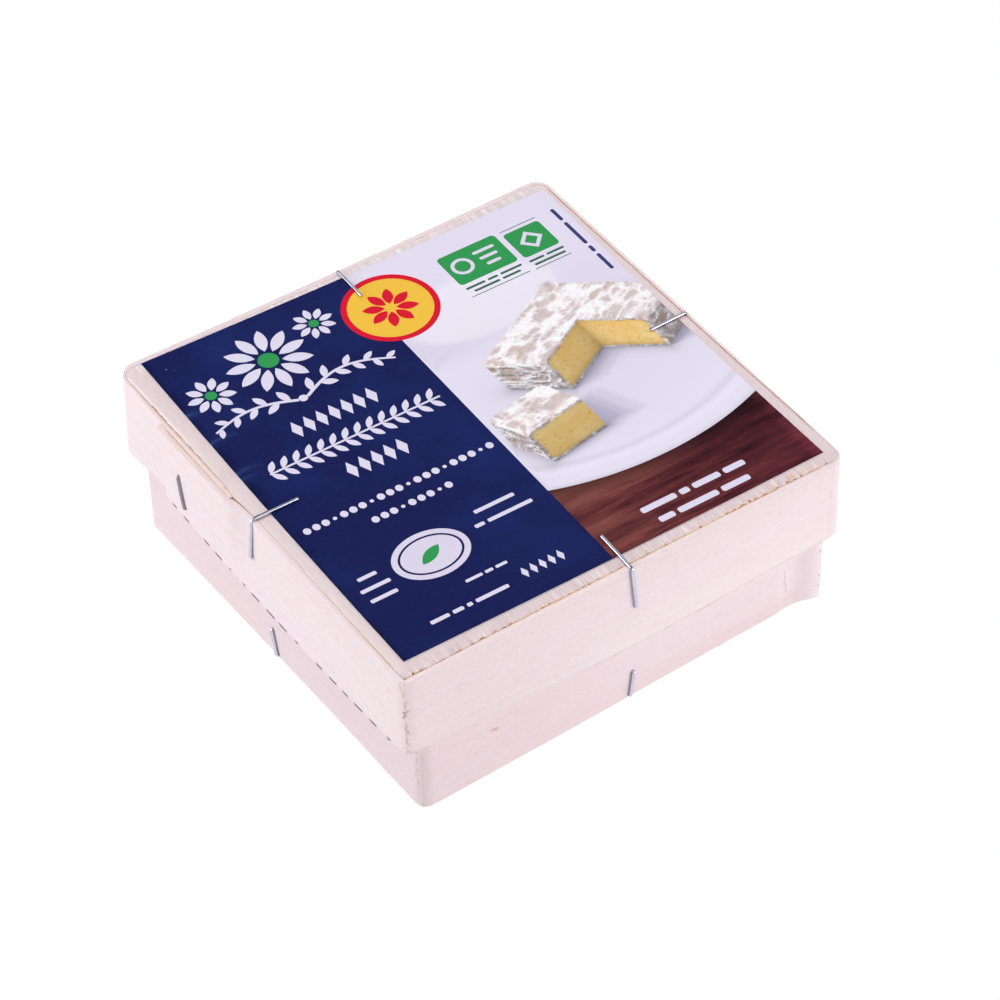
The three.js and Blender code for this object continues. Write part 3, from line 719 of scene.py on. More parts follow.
    brown_n = inner_l * np.interp(y, [9, 12, 16, 22, 26, 30, 34, 38, 42, 49], [0.05, 0.1, 0.14, 0.2, 0.36, 0.5, 0.42, 0.36, 0.22, 0.15])
    brown_n = brown_n * (0.75 + 0.5 * noise(y * 1.9, 3.3, 28))
    brown_s = on_left * outer_ply * ease(-y, 13, 24) * (0.45 + 0.55 * ease(-y, 28, 42)) * (0.8 + 0.4 * noise(y * 1.4, 5.3, 29))
    curl = inner_l * bump(y, 11.4, 0.9)
    grey = 0.035 * on_left + 0.065 * rear + 0.035 * right * ease(y, 8, 18)
    plain = ease(y, -16, -12) * (1 - ease(y, -1, 1))
    arris_l = on_left * lap * ease(y, 13, 21)
    # painted highlight on the top edge, mostly along the front, faintly on the right
    painted_highlight = 0.30 * front + 0.06 * right
    inlap = under_f * (side == 3)
    col(top_out, zt - 0.20, z1 - z0 - 0.17, 0, 0.0)
    low = 0.06 * shut
    col(top_out - 0.06 * sc, zt - 0.06 - low, z1 - z0 - 0.05, 0, 0.03, b=0.05 * rear)
    col(top_out - 0.18 * sc, zt - 0.015 - low, z1 - z0 + 0.1, 0.10 * arris_l, tan_top * 0.25 + 0.10 * east + 0.35 * arris_l, b=grey)
    col(top_out - 0.40 * sc, zt - 0.01 - 0.05 * bevel - low, z1 - z0 + 0.3, 0.0, tan_top * 0.35 + 0.12 * east, p=0.3 * painted_highlight, b=grey)
    col(top_out - 0.66 * sc, zt - 0.01 - 0.2 * bevel - low, z1 - z0 + 0.5, 0.05 * bevel * tear + 0.3 * curl, np.clip(tan_top * 0.5 + 0.25 * inlap + 0.14 * east + 0.5 * curl, 0, 1), p=0.6 * painted_highlight, b=grey)
    col(top_out - 0.90 * sc, zt - 0.02 - 0.30 * bevel - 0.03 * tear - low, z1 - z0 + 0.75,
        np.clip(0.10 * line * seg + 0.3 * corner_f * tear + 0.35 * hole * (reach < 1.5) + 0.30 * brown_n + 0.15 * brown_s + 0.4 * curl, 0, 1),
        np.clip(tan_top + 0.12 * front + 0.4 * line * strong + 0.25 * inlap + 0.18 * east + 0.6 * hole + 0.7 * brown_n + 0.4 * brown_s, 0, 1), p=painted_highlight, b=grey)
    col(top_out - np.maximum(0.93 * sc, reach - 0.24), zt - 0.02 - 0.31 * bevel - 0.03 * tear - low, z1 - z0 + 0.8,
        np.clip(0.12 * line * seg + 0.3 * corner_f * tear + 0.35 * hole + 0.55 * brown_n + 0.3 * brown_s, 0, 1),
        np.clip(tan_top + 0.14 * front + 0.45 * line * strong + 0.25 * inlap + 0.18 * east + 0.6 * hole + 0.9 * brown_n + 0.6 * brown_s, 0, 1), p=painted_highlight * (reach < 1.5))
    inner_arris = np.where(slim > 0, 0.06, 0.12) * sc
    col(top_out - reach + inner_arris, zt - 0.03 - 0.42 * bevel - 0.03 * tear - 0.12 * hole - low, z1 - z0 + 0.9,
        np.clip(0.10 * gap_r * front + 0.38 * line * strong * (0.6 + 0.4 * seg) + 0.35 * corner_f + 0.5 * hole + 0.62 * crack_l + 0.30 * east + 0.9 * brown_n + 0.75 * brown_s, 0, 1),
        np.clip(tan_top + 0.30 * front + 0.6 * line + 0.30 * east + 0.8 * hole + 0.9 * crack_l + 0.9 * brown_n + 0.9 * brown_s, 0, 1), p=0.5 * painted_highlight, b=0.05 * rear + 0.04 * east)
    col(top_out - reach, zt - 0.13 + 0.09 * rear - 0.42 * bevel - 0.12 * hole, z1 - z0 + 1.05,
        np.clip(0.06 * (1 - plain * on_left) * (1 - rear) + 0.25 * front * gap_r + 0.15 * on_left * (1 - plain) + 0.40 * line * strong + 0.6 * hole + 0.65 * crack_l + 0.32 * east + 0.9 * brown_n + 0.8 * brown_s, 0, 1),
        np.clip(0.40 * (1 - plain * on_left) * (1 - rear) + 0.35 * front + 0.3 * on_left * (1 - plain) + 0.5 * crack_l + 0.15 * east, 0, 1), b=0.05 * rear + 0.05 * east)
    # inner face
    for k, z in enumerate([38.2, 37.2, 35.0, 31.0, 26.0, 22.0]):
        o = lid_shift(d, s, np.full((1, 1), z))[:, 0] + wave - (reach if z > 37 else VENEER)
        col(o, np.minimum(np.full(n, z), zt - 0.5 - 0.8 * bevel if k == 0 else z), z1 - z0 + 1.2 + (39.2 - z), (0.15 * (1 - rear) + 0.2 * (front + on_left) + 0.3 * line) if z > 37 else 0.0, 0.5 * (1 - rear) if z > 37 else 0.0)
    col(foot_out - VENEER, z0 + 0.15, z1 - z0 + 21.2, 0, 0.1)
    col(foot_out - VENEER + 0.12, zb, z1 - z0 + 21.4, 0, 0.1)
    arr = np.array(cols)                     # (k, 7, n)
    out, z, along, v = (arr[:, i, :].T for i in range(4))
    # the two cut ends are a little out of true
    end = np.exp(-(D_LID_END - d) / 0.8)[:, None]
    start = np.exp(-(d - D_LID_FREE) / 0.8)[:, None]
    saw = 0.08 * noise(z * 0.8, 0.0, 61) + 0.05 * noise(z * 3.3, 0.0, 62)
    along = along + saw * (end + start)
    # a gentle unevenness of the veneer itself
    face = (out > -0.5)
    out = out + np.where(face, 0.025 * fbm(np.broadcast_to(d[:, None] / 9.0, z.shape), z / 4.0, 71), 0)
    stain_and_light = np.clip(np.stack([arr[:, 4 + i, :].T for i in range(4)], -1), 0, 1)
    return out, z, along, v, stain_and_light


LID_PRONGS = [(0, 0.5, 29.4), (1, 0.0, 29.4), (2, 0.8, 29.4), (3, 0.0, 29.4), (3, 26.8, 31.4), (3, 25.7, 22.6)]
lid_windows = [(lid_line.where(a, b), 1.6, 0.22) for a, b, _ in LID_PRONGS]
lid_windows += [(lid_line.arc_mid(0), 1.5, 0.085), (lid_line.arc_mid(0), 0.2, 0.085)]
lid_windows = [w for w in lid_windows]
lap_fine = [(lid_line.where(3, -7), 41.5, 0.34), (lid_line.where(3, 21) + lid_line.total, 16.5, 0.34)]
ds = stations(lid_line, D_LID_FREE, D_LID_END, 0.95, 0.42, lid_windows[:4] + [lid_windows[6]] + [(c + (lid_line.total if c < D_LID_FREE else 0), h, s) for c, h, s in [lid_windows[0], lid_windows[6]]] + lap_fine)
lid_band = strip("lid_band_wood", lid_line, ds, lid_line.at, lid_section, band_mat_lid)
print("lid band stations", len(ds), "faces", len(lid_band.data.polygons))

# --------------------------------------------------------------- the base band
base_line = Outline(BASE_CORNERS, BASE_RADII)
FRONT_END_X = BASE_CORNERS[1][0] - BASE_RADII[1]
D_FRONT_END = base_line.where(0, FRONT_END_X)
D_BASE_END = base_line.where(0, 47.8)
D_BASE_START = base_line.where(0, 31) - base_line.total


def front_run(x):
    return -0.4 * ease(x, -25, 38) - 0.25 * ease(x, 37.5, 40) + 1.45 * ease(x, 42, 48)


def tuck_run(x):
    return front_run(x) - VENEER - PLY_GAP


def round_corner(d):
    return tuck_run(FRONT_END_X) * (1 - ease(d, D_FRONT_END, D_FRONT_END + 9))


def base_station(d):
    s = base_line.at(d)
    run = (d >= D_FRONT_END) & (d <= D_BASE_END + 1)
    if run.any():
        e = base_line.at(np.array([D_FRONT_END - 1e-6]))
        s["x"][run] = e["x"][0] + d[run] - D_FRONT_END
        s["y"][run] = e["y"][0]
        s["nx"][run], s["ny"][run] = e["nx"][0], e["ny"][0]
        s["side"][run], s["w"][run], s["arc"][run] = 0, 0, False
    return s


def base_shift(d, s):
    v = np.zeros(len(d))
    pos = d > 0
    v[pos] = np.where(d[pos] < D_BASE_END + 1, front_run(s["x"][pos]) * (s["side"][pos] == 0), 0)
    neg = ~pos
    plain = base_line.at(d)
    tuck = neg & (plain["side"] == 0) & (plain["w"] > 0) & (d < D_BASE_START + 20)
    v[neg] = 0
    rounding = neg & ~tuck & (d < D_BASE_START + 40)
    v[rounding] = round_corner(d[rounding] + base_line.total)
    v[tuck] = tuck_run(plain["x"][tuck])
    return v + s["w"] * BASE_BOW[s["side"]]


BASE_STAPLES = {
    "base_staple_front": (0, 1.4, 0.8),
    "base_staple_right": (1, 0.5, -0.6),
    "base_staple_back": (2, -1.0, 0.8),
    "base_staple_left": (3, 2.6, 1.4),
}


def base_place(x, y):
    return turned(x, y, BASE_TURN, BASE_CENTRE)


def base_section(d, s):
    n = len(d)
    side = s["side"]
    shift = base_shift(d, s)
    corner = base_line.arc_mid(0)
    c = d - corner
    c = np.where(c < -base_line.total / 2, c + base_line.total, c)
    wave = -0.04 + 0.05 * fbm(d / 14.0, 4.3, 141)
    face = shift + wave + BASE_FOLD * fold(c, BASE_RADII[0])
    foot_rag = 0.03 * np.abs(fbm(d * 0.9, 1.5, 131)) + 0.02 * np.abs(noise(d * 3.1, 3.5, 132))
    notch = np.zeros(n)
    for sd, along, lean in BASE_STAPLES.values():
        for lap in (0, -base_line.total):
            dn = base_line.where(sd, along - lean) + lap
            if lap and sd == 0:
                continue
            notch = np.maximum(notch, 0.8 * (1 - ease(np.abs(d - dn), 0.38, 0.62)))
    rows = np.concatenate([np.arange(0.35, 20.4, 0.3), [22.5, 25, 28, 31, 34, 36.8]])
    cols = []

    def col(out, z, v, r=0.0, g=0.0, b=0.0, along=0.0, p=0.0):
        cols.append([np.broadcast_to(np.asarray(q, float), (n,)) for q in (out, z, along, v, r, g, b, p)])

    dirt = 0.12 * ease(fbm(d * 0.6, 8.8, 133), 0.0, 0.5)
    end = np.exp(-np.abs(D_BASE_END - d) / 0.35)
    col(face - VENEER * 0.5, foot_rag * 0.4 + notch, -0.5, 0.1, 0.2)
    col(face - 0.12, foot_rag * 0.5 + notch, -0.2, 0.1, 0.2, dirt)
    col(face - 0.035, 0.035 + foot_rag + notch, -0.05, 0, 0.1, dirt)
    col(face, 0.14 + foot_rag + notch * 1.02, 0.1, 0, 0.0, dirt * 0.5)
    seam = [(39.87, 11.6), (40.74, 4.1)]
    # painted light on the end of the outer ply at the front right, where it bends out and would fall darker
    painted_light_flap = 0.85 * ease(s["x"], 42, 49) * (side == 0) * (d > 0)
    # painted light on the base's front face: paler towards the right, from a few mm above the foot up
    painted_light = 0.26 * ease(s["x"], -28, 12) * (side == 0) * (d > 0)
    # the whole left face a touch greyer: painted shade
    west_shade = 0.022 * (side == 3)
    for z in rows:
        zz = np.full(n, z)
        low = 0.14 + foot_rag + notch
        zz = np.maximum(zz, low + 0.05 * (z + 0.1))
        crack = np.zeros(n)
        near = np.abs(c) < 3
        if near.any() and z < 19.5:
            crack[near] = near_lines(c[near], np.full(near.sum(), z), BASE_CRACK, 0.15)
        o = face - 0.14 * crack
        for xs, zs in seam:
            dd = d - base_line.where(0, xs)
            o = o - 0.12 * np.exp(-(dd ** 2 + (z - zs) ** 2) / 0.3)
        for sd, along, lean in BASE_STAPLES.values():
            dd = d - base_line.where(sd, along)
            dd = np.where(dd < -base_line.total / 2, dd + base_line.total, dd)
            o = o - 0.12 * np.exp(-(dd ** 2 + (z - 6.9) ** 2) / 0.3)
        spot = end * ease(noise(zz * 1.3, 2.1, 134), 0.35, 0.75) * 0.9
        spot = np.maximum(spot, end * bump(z, 3.4, 0.5) * 1.0)
        xs = s["x"]
        line = 12.05 - 0.10 * (xs + 32)
        mark = 0.62 * (side == 0) * (1 - ease(np.abs(xs + 31.9), 0.5, 1.2)) * (1 - ease(np.abs(z - line), 0.15, 0.5))
        col(o, zz, z, np.clip(crack + spot + mark, 0, 1), np.clip(0.2 * (crack > 0.02) * np.exp(-(c / 0.5) ** 2), 0, 1), west_shade, p=np.maximum(painted_light_flap, painted_light * np.interp(z, [2.5, 6], [0, 1])))
    zt = BASE_TOP - 0.1 * np.abs(fbm(d, 3.3, 135))
    col(face - 0.15, zt, 37.1, 0, 0.2)
    col(face - VENEER + 0.15, zt, 38.0, 0, 0.2)
    for z in (36.0, 28.0, 20.0, 12.0, 4.0, 1.6):
        col(face - VENEER, z, 38.0 + (37 - z), 0, 0)
    col(face - VENEER, 0.14 + notch, 75.0, 0, 0.1)
    col(face - VENEER + 0.12, foot_rag * 0.4 + notch, 75.2, 0.1, 0.2)
    arr = np.array(cols)
    out, z, along, v = (arr[:, i, :].T for i in range(4))
    saw = 0.05 * noise(z * 0.9, 0.0, 161) + 0.035 * noise(z * 3.1, 0.0, 162) - 0.04
    along = along + saw * (np.exp(-(D_BASE_END - d) / 0.7) + np.exp(-(d - D_BASE_START) / 0.7))[:, None]
    on_face = out > -0.5 + shift[:, None]
    out = out + np.where(on_face, 0.02 * fbm(np.broadcast_to(d[:, None] / 9.0, z.shape), z / 4.0, 171), 0)
    stain_and_light = np.clip(np.stack([arr[:, 4 + i, :].T for i in range(4)], -1), 0, 1)
    return out, z, along, v, stain_and_light


base_windows = [(base_line.arc_mid(0) - 0.6, 2.0, 0.085)]
for sd, along, lean in BASE_STAPLES.values():
    p = base_line.where(sd, along - lean / 2)
    half = 1.3 + abs(lean) / 2
    base_windows.append((p if sd == 0 else p - base_line.total, half, 0.16))
base_windows.append((base_line.where(0, 40.4), 1.3, 0.2))
base_windows.append((base_line.where(0, -31.9), 1.5, 0.25))
base_windows.append((D_BASE_END - 0.6, 0.6, 0.15))
ds = stations(base_line, D_BASE_START, D_BASE_END, 0.95, 0.4, base_windows)
base_band = strip("base_band_wood", base_line, ds, base_station, base_section, band_mat_base, base_place, uv_shift=37.0)
print("base band stations", len(ds), "faces", len(base_band.data.polygons))


# ------------------------------------------------------------------ the boards
def inset_corners(corners, t):
    c = np.array(corners, float)
    n = len(c)
    lines = []
    for i in range(n):
        p, q = c[i], c[(i + 1) % n]
        e = (q - p) / np.linalg.norm(q - p)
        inward = np.array([-e[1], e[0]])
        lines.append((p + inward * t, e))
    out = []
    for i in range(n):
        p, e = lines[i - 1]
        q, g = lines[i]
        m = np.array([[e[0], -g[0]], [e[1], -g[1]]])
        u = np.linalg.solve(m, q - p)
        out.append(tuple(p + e * u[0]))
    return out


def inset_outline(corners, radii, t):
    return Outline(inset_corners(corners, t), [max(r - t, 0.35) for r in radii])


def ring_stations(steps, arc_steps=9):
    """(piece, share along it) round the outline, the same for every ring."""
    out = []
    for side in range(4):
        out.extend((2 * side, k / arc_steps) for k in range(arc_steps))
        out.extend((2 * side + 1, u) for u in steps[side])
    return out


def ring_points(line, marks):
    d = np.array([line.start[k] + line.pieces[k]["len"] * u for k, u in marks])
    return line.at(d + 1e-9)


def even(length, step):
    n = int(math.ceil(length / step))
    return [k / n for k in range(n)]


def fill_inside(ring_xy, spacing, extra=None, keep_off=1.0):
    """Points and triangles that fill a closed ring; the ring comes first."""
    lo, hi = ring_xy.min(0), ring_xy.max(0)
    xs = np.arange(lo[0] + spacing / 2, hi[0], spacing)
    ys = np.arange(lo[1] + spacing / 2, hi[1], spacing)
    g = np.stack(np.meshgrid(xs, ys), -1).reshape(-1, 2)
    g = g[(g[:, 0] > lo[0] + keep_off) & (g[:, 0] < hi[0] - keep_off) & (g[:, 1] > lo[1] + keep_off) & (g[:, 1] < hi[1] - keep_off)]
    if extra is not None:
        if len(g):
            far = np.ones(len(g), bool)
            for a in range(0, len(extra), 400):
                dist = np.hypot(g[:, None, 0] - extra[None, a:a + 400, 0], g[:, None, 1] - extra[None, a:a + 400, 1]).min(1)
                far &= dist > spacing * 0.45
            g = g[far]
        g = np.concatenate([extra, g])
    pts = np.concatenate([ring_xy, g])
    n = len(ring_xy)
    res = delaunay_2d_cdt([Vector(p) for p in pts], [], [list(range(n))], 1, 1e-7, True)
    v = np.array([tuple(p) for p in res[0]])
    return v, [tuple(f) for f, src in zip(res[2], res[5]) if src], res[3]


# the lid's board: its front and back edges cut across the grain are torn
LID_BOARD_INSET = VENEER + 0.03
TUFTS = [(-50.5, .5), (-49.7, .45), (-48.5, .6), (-47.6, .3), (-46.8, .45), (-45.6, .25), (-44.1, .2), (-42, .25), (-40.2, .15), (-38.3, .2),
         (-35.2, .2), (-32.8, .35), (-30.2, .45), (-28.4, .2), (-26.6, .4), (-25.4, .45), (-22.3, .35), (-19.5, .4), (-17.7, .5), (-15.4, .2), (-13.3, .35), (-9.8, .2), (-6.6, .35), (-3.0, .2), (0.8, .25), (5, .2), (9, .2), (13.2, .2), (17.5, .3),
         (20.6, .3), (23.9, .55), (25.6, .55), (27.7, .5), (29.6, .8), (30.8, .5), (33.3, .6), (34.8, .4), (36.1, .4), (38.7, .75), (40.2, .35),
         (41.9, .6), (43.9, .4), (45.9, .35), (47.7, .5), (49.4, .35)]
BACK_TUFTS = [(-31, .5), (-12.5, .3), (18.2, .4), (27.7, .3), (40.4, .35)]


LEFT_GAPS = [(39.2, 37.2, .13), (36.0, 34.0, .06), (30.6, 28.2, .09), (25.8, 24.2, .07), (22.4, 20.8, .06)]


def torn(x, seed, tufts):
    """How far the torn edge goes in at x."""
    v = 0.015 + 0.16 * np.clip(noise(x * 1.6, 0.5, seed) * 1.5 + 0.1, 0, 1) ** 1.5
    v = v + 0.13 * np.clip(noise(x * 3.6, 4.5, seed + 1) * 1.2, 0, 1) ** 1.5
    v = v + 0.30 * np.clip(noise(x * 0.75, 2.5, seed + 2) * 1.3 - 0.25, 0, 1) * np.clip(noise(x * 3.1, 6.5, seed + 5) + 0.4, 0, 1)
    for k, (c, size) in enumerate(tufts):
        w = 0.34 + 0.5 * size * (0.8 + 0.4 * hash01(k, 3, seed))
        jag = 0.65 + 0.5 * noise(x * 4.7, 1.5 + k, seed + 3)
        v = v + 1.0 * size * jag * bump(x + 0.15 * noise(x * 3, 1, seed), c, w)
    return v


def lid_board_mesh():
    radii = [r - LID_BOARD_INSET for r in LID_RADII]
    corners = inset_corners(LID_CORNERS, LID_BOARD_INSET)
    steps = [even(101, 0.17), even(101, 0.6), even(101, 0.28), even(101, 0.5)]
    marks = ring_stations(steps)
    rings = [0, 0.07, 0.16, 0.28, 0.42, 0.6, 0.85, 1.15, 1.5, 2.0, 2.6, 3.4, 4.4]
    n = len(marks)
    co, stain_and_light = [], []

    def layer(t, z_off, fixed_z=None, brown=None):
        line = inset_outline(corners, radii, t)
        s = ring_points(line, marks)
        x, y = s["x"], s["y"]
        k = s["side"]
        arc = s["arc"]
        is_front, is_back = (k == 0) & ~arc, (k == 2) & ~arc
        is_left, is_right = (k == 3) & ~arc, (k == 1) & ~arc
        fb = (is_front | is_back).astype(float)
        e = np.full(n, 0.05)
        e = np.where(is_front, torn(x, 200, TUFTS), e)
        e = np.where(is_back, 0.10 * torn(x, 230, BACK_TUFTS), e)
        e = np.where(arc & (k >= 2), 0.0, e)
        tight = 0.25 * (1 - ease(y, -50, -46)) + 0.75 * (1 - ease(y, -20, -15)) * ease(y, -50, -46) + ease(y, 9.5, 12) * (1 - ease(y, 44, 48))
        gap_l = 0.0
        for hi, lo, amount in LEFT_GAPS:
            gap_l = gap_l + amount * ease(y, lo - 0.5, lo + 0.5) * (1 - ease(y, hi - 0.5, hi + 0.5))
        gap_l = gap_l + np.clip(0.10 + 0.05 * noise(y * 1.7, 2.1, 245) + 0.04 * noise(y * 4.1, 1.1, 246), 0, 1) * ease(y, 13, 16.5) * (1 - 0.55 * ease(y, 39, 44))
        e = np.where(is_left, 0.02 + 0.06 * tight + 0.03 * noise(y * 2.3, 3.1, 241) * tight + gap_l, e)
        e = np.where(is_left, e + 0.10 * bump(y, 8.0, 0.7) + 0.04 * bump(y, 11.4, 1.0) * (0.7 + noise(y * 3.3, 1.2, 243)), e)
        room = right_room(s)
        shut = ease(-y, 39, 43) * (room > 0.3)
        e = np.where(is_right, 0.06 + 0.06 * ease(y, -6, 6) + 0.05 * noise(y * 0.8, 6.1, 242) + 0.03 * noise(y * 2.7, 6.1, 244), e)
        e = e * (1 - shut) - 0.03 * shut
        bow = s["w"] * LID_BOW[k]
        pull = e * math.exp(-(t / 0.6) ** 2) - bow * math.exp(-t / 40.0)
        if fixed_z is not None:
            pull = -bow
        pull = pull - room * math.exp(-t / 6.0) - (left_room(s) + front_room(s)) * math.exp(-t / 3.0)
        x = x - s["nx"] * pull
        y = y - s["ny"] * pull
        ridge = fb * (0.025 * noise(x * 2.1, t * 0.15, 211) + 0.045 * noise(x * 5.3, t * 0.2, 212)) * math.exp(-t / 2.8)
        ridge = ridge + is_left * 0.02 * noise(t * 3.0, y * 0.1, 216) * math.exp(-t / 3.0)
        # the bright line along the board's left arris further back: a painted highlight over a slightly raised ridge
        highlight_line_l = is_left * np.interp(y, [12, 16, 22, 26, 32, 36, 38, 46, 49], [0, 0.08, 0.35, 0.6, 0.8, 0.95, 0.75, 0.7, 0.7])
        ridge = ridge + 0.05 * highlight_line_l * math.exp(-((t - 0.36) / 0.28) ** 2)
        tuft_z = -0.30 * np.clip(e - 0.10, 0, 0.6) * math.exp(-t / 0.4) * fb
        z = BOARD_TOP + z_off * (1 - 0.85 * (is_back | (arc & (k >= 2)))) + ridge + tuft_z if fixed_z is None else np.full(n, fixed_z)
        deep = np.clip((e - 0.10) * 2.0, 0, 1) * fb
        r = deep * math.exp(-(t / 0.46) ** 2) * (0.75 + 0.6 * noise(x * 4.1, t * 3.0, 218))
        r = r + is_front * math.exp(-(t / 0.14) ** 2) * 0.8 * ease(noise(x * 1.3, 5.5, 221), -0.2, 0.3) * (1 - 0.3 * ease(x, 16, 24) - 0.35 * ease(x, 33, 37) - 0.3 * ease(x, 45, 47))
        mid_f = ease(x, -26, -14) * (1 - 0.8 * ease(x, 44, 47))
        g = deep * math.exp(-(t / 0.9) ** 2) * 1.0 + 0.6 * is_front * math.exp(-t / 0.30) + 0.45 * is_front * mid_f * math.exp(-(t / 0.5) ** 2)
        g = g * (1 - 0.45 * is_front * ease(x, 35, 39)) + 0.9 * is_front * bump(x, 40, 7.5) * ease(noise(x * 1.9, 3.6, 222), -0.5, 0.2) * math.exp(-((t - 1.35) / 0.6) ** 2)
        r = r * (1 - 0.35 * is_front * ease(x, 34, 40)) + 0.30 * is_front * bump(x, 40, 7.5) * ease(noise(x * 2.9, 3.6, 222), -0.1, 0.4) * math.exp(-((t - 1.3) / 0.45) ** 2)
        g = g + (0.22 * is_left * (1 - ease(y, 22, 30))) * math.exp(-t / 0.15) + 0.5 * is_left * bump(y, 9.6, 2.4) * math.exp(-t / 0.3)
        # fine ticks across the torn front and back margins: the grain's ridges drawn as painted shadow (dark ticks)
        # and, two lines on, painted highlight (pale ticks)
        tick_shadow = fb * ease(noise(x * 4.9, 1.3 + t * 0.1, 214), 0.10, 0.5) * math.exp(-((t - 0.9) / 1.6) ** 2) * ease(noise(x * 0.35, 8.3, 215), -0.6, 0.1)
        b = 0.17 * tick_shadow
        p = 0.55 * fb * ease(noise(x * 4.1, 6.3 + t * 0.1, 220), 0.10, 0.5) * math.exp(-((t - 1.1) / 1.9) ** 2)
        east = (room > 0.1) * (1 - shut)
        g = g + 0.35 * east * math.exp(-(t / 0.16) ** 2)
        r = r + 0.22 * east * math.exp(-(t / 0.08) ** 2)
        # paler margins along the right and back edges: painted light
        p = p + 0.16 * is_right * math.exp(-(t / 2.6) ** 2) * ease(t, 0.2, 0.5) + 0.30 * (is_back | (arc & (k >= 2))) * math.exp(-(t / 3.0) ** 2)
        # painted highlight along the left arris: near the front, and along the bright line further back
        p = p + is_left * math.exp(-(t / 0.22) ** 2) * 0.55 * (1 - ease(y, -20, -14)) + highlight_line_l * math.exp(-((t - 0.36) / 0.20) ** 2)
        # a paler margin along the left edge: painted light
        p = p + 0.28 * is_left * math.exp(-(t / 2.4) ** 2) * (1 - 0.8 * bump(y, 14, 3))
        r = r + 0.6 * is_left * ease(gap_l + 0 * y, 0.05, 0.16) * math.exp(-(t / 0.10) ** 2) * ease(y, 14, 18)
        if brown is not None:
            p = np.zeros(n)
            patch = ease(noise(x * 0.6 + y * 0.6, 2.2, 219), -0.3, 0.4)
            dark = np.clip(ease(gap_l + 0 * y, 0.05, 0.15) + 0.25 * (patch > 0.5), 0, 1) * ease(y, 8, 12)
            r = (brown * patch * (0.35 * is_front + 0.2 * (arc & (k < 2))) + is_left * (0.15 * patch + 0.95 * dark) + 0.6 * is_left * bump(y, 7.6, 1.6))
            r = r + 0.42 * is_right * (0.6 + 0.4 * patch) * ease(y, -46, -30)
            g = 0.75 - 0.35 * is_right - 0.7 * (is_back | (arc & (k >= 2)))
            r, g = r * (1 - shut), g * (1 - shut)
        co.append(np.stack([x, y, z], -1))
        stain_and_light.append(np.stack([np.clip(q + np.zeros(n), 0, 1) for q in (r, g, b, p)], -1))

    layer(0, 0, BOARD_TOP - BOARD_THICK, 1.0)
    layer(0, 0, BOARD_TOP - 0.9, 1.0)
    layer(0, 0, BOARD_TOP - 0.22, 1.0)
    layer(0, -0.17, None)
    layer(0.04, -0.08, None)
    layer(0.11, -0.03, None)
    for t in rings[3:]:
        layer(t, -0.02 * math.exp(-t / 0.3), None)
    m = len(co)
    idx = np.arange(m * n).reshape(m, n)
    faces = []
    for a in range(m - 1):
        p, q = idx[a], idx[a + 1]
        for i in range(n):
            j = (i + 1) % n
            faces.append((int(p[i]), int(p[j]), int(q[j]), int(q[i])))
    verts = np.concatenate(co)
    st = np.concatenate(stain_and_light)
    ring = verts[idx[-1]][:, :2]
    v, tris, _ = fill_inside(ring, 5.0)
    base = len(verts)
    verts = np.concatenate([verts, np.column_stack([v[n:], np.full(len(v) - n, BOARD_TOP)])])
    st = np.concatenate([st, np.zeros((len(v) - n, 4))])
    last = idx[-1]
    for f in tris:
        faces.append(tuple(int(last[i]) if i < n else int(base + i - n) for i in f))
    faces.append(tuple(int(i) for i in idx[0][::-1]))
    return make_mesh("lid_board_wood", verts, faces, [board_mat_lid], stain_and_light=st)


lid_board = lid_board_mesh()
print("lid board faces", len(lid_board.data.polygons))


def base_leg_lines():
    """The four under-bent wires of the base: (knee, tip) in the base's frame."""
    out = {}
    for name, (side, along, lean) in BASE_STAPLES.items():
        d = np.array([base_line.where(side, along - lean)])
        s = base_line.at(d)
        k = WIRE_T + 0.04 + s["w"] * BASE_BOW[side] + (front_run(s["x"]) if side == 0 else 0)
        knee = np.array([s["x"] + s["nx"] * k, s["y"] + s["ny"] * k]).ravel()
        nrm = np.array([s["nx"], s["ny"]]).ravel()
        out[name] = (knee, knee - nrm * 9.6, nrm)
    return out


BASE_LEGS = base_leg_lines()


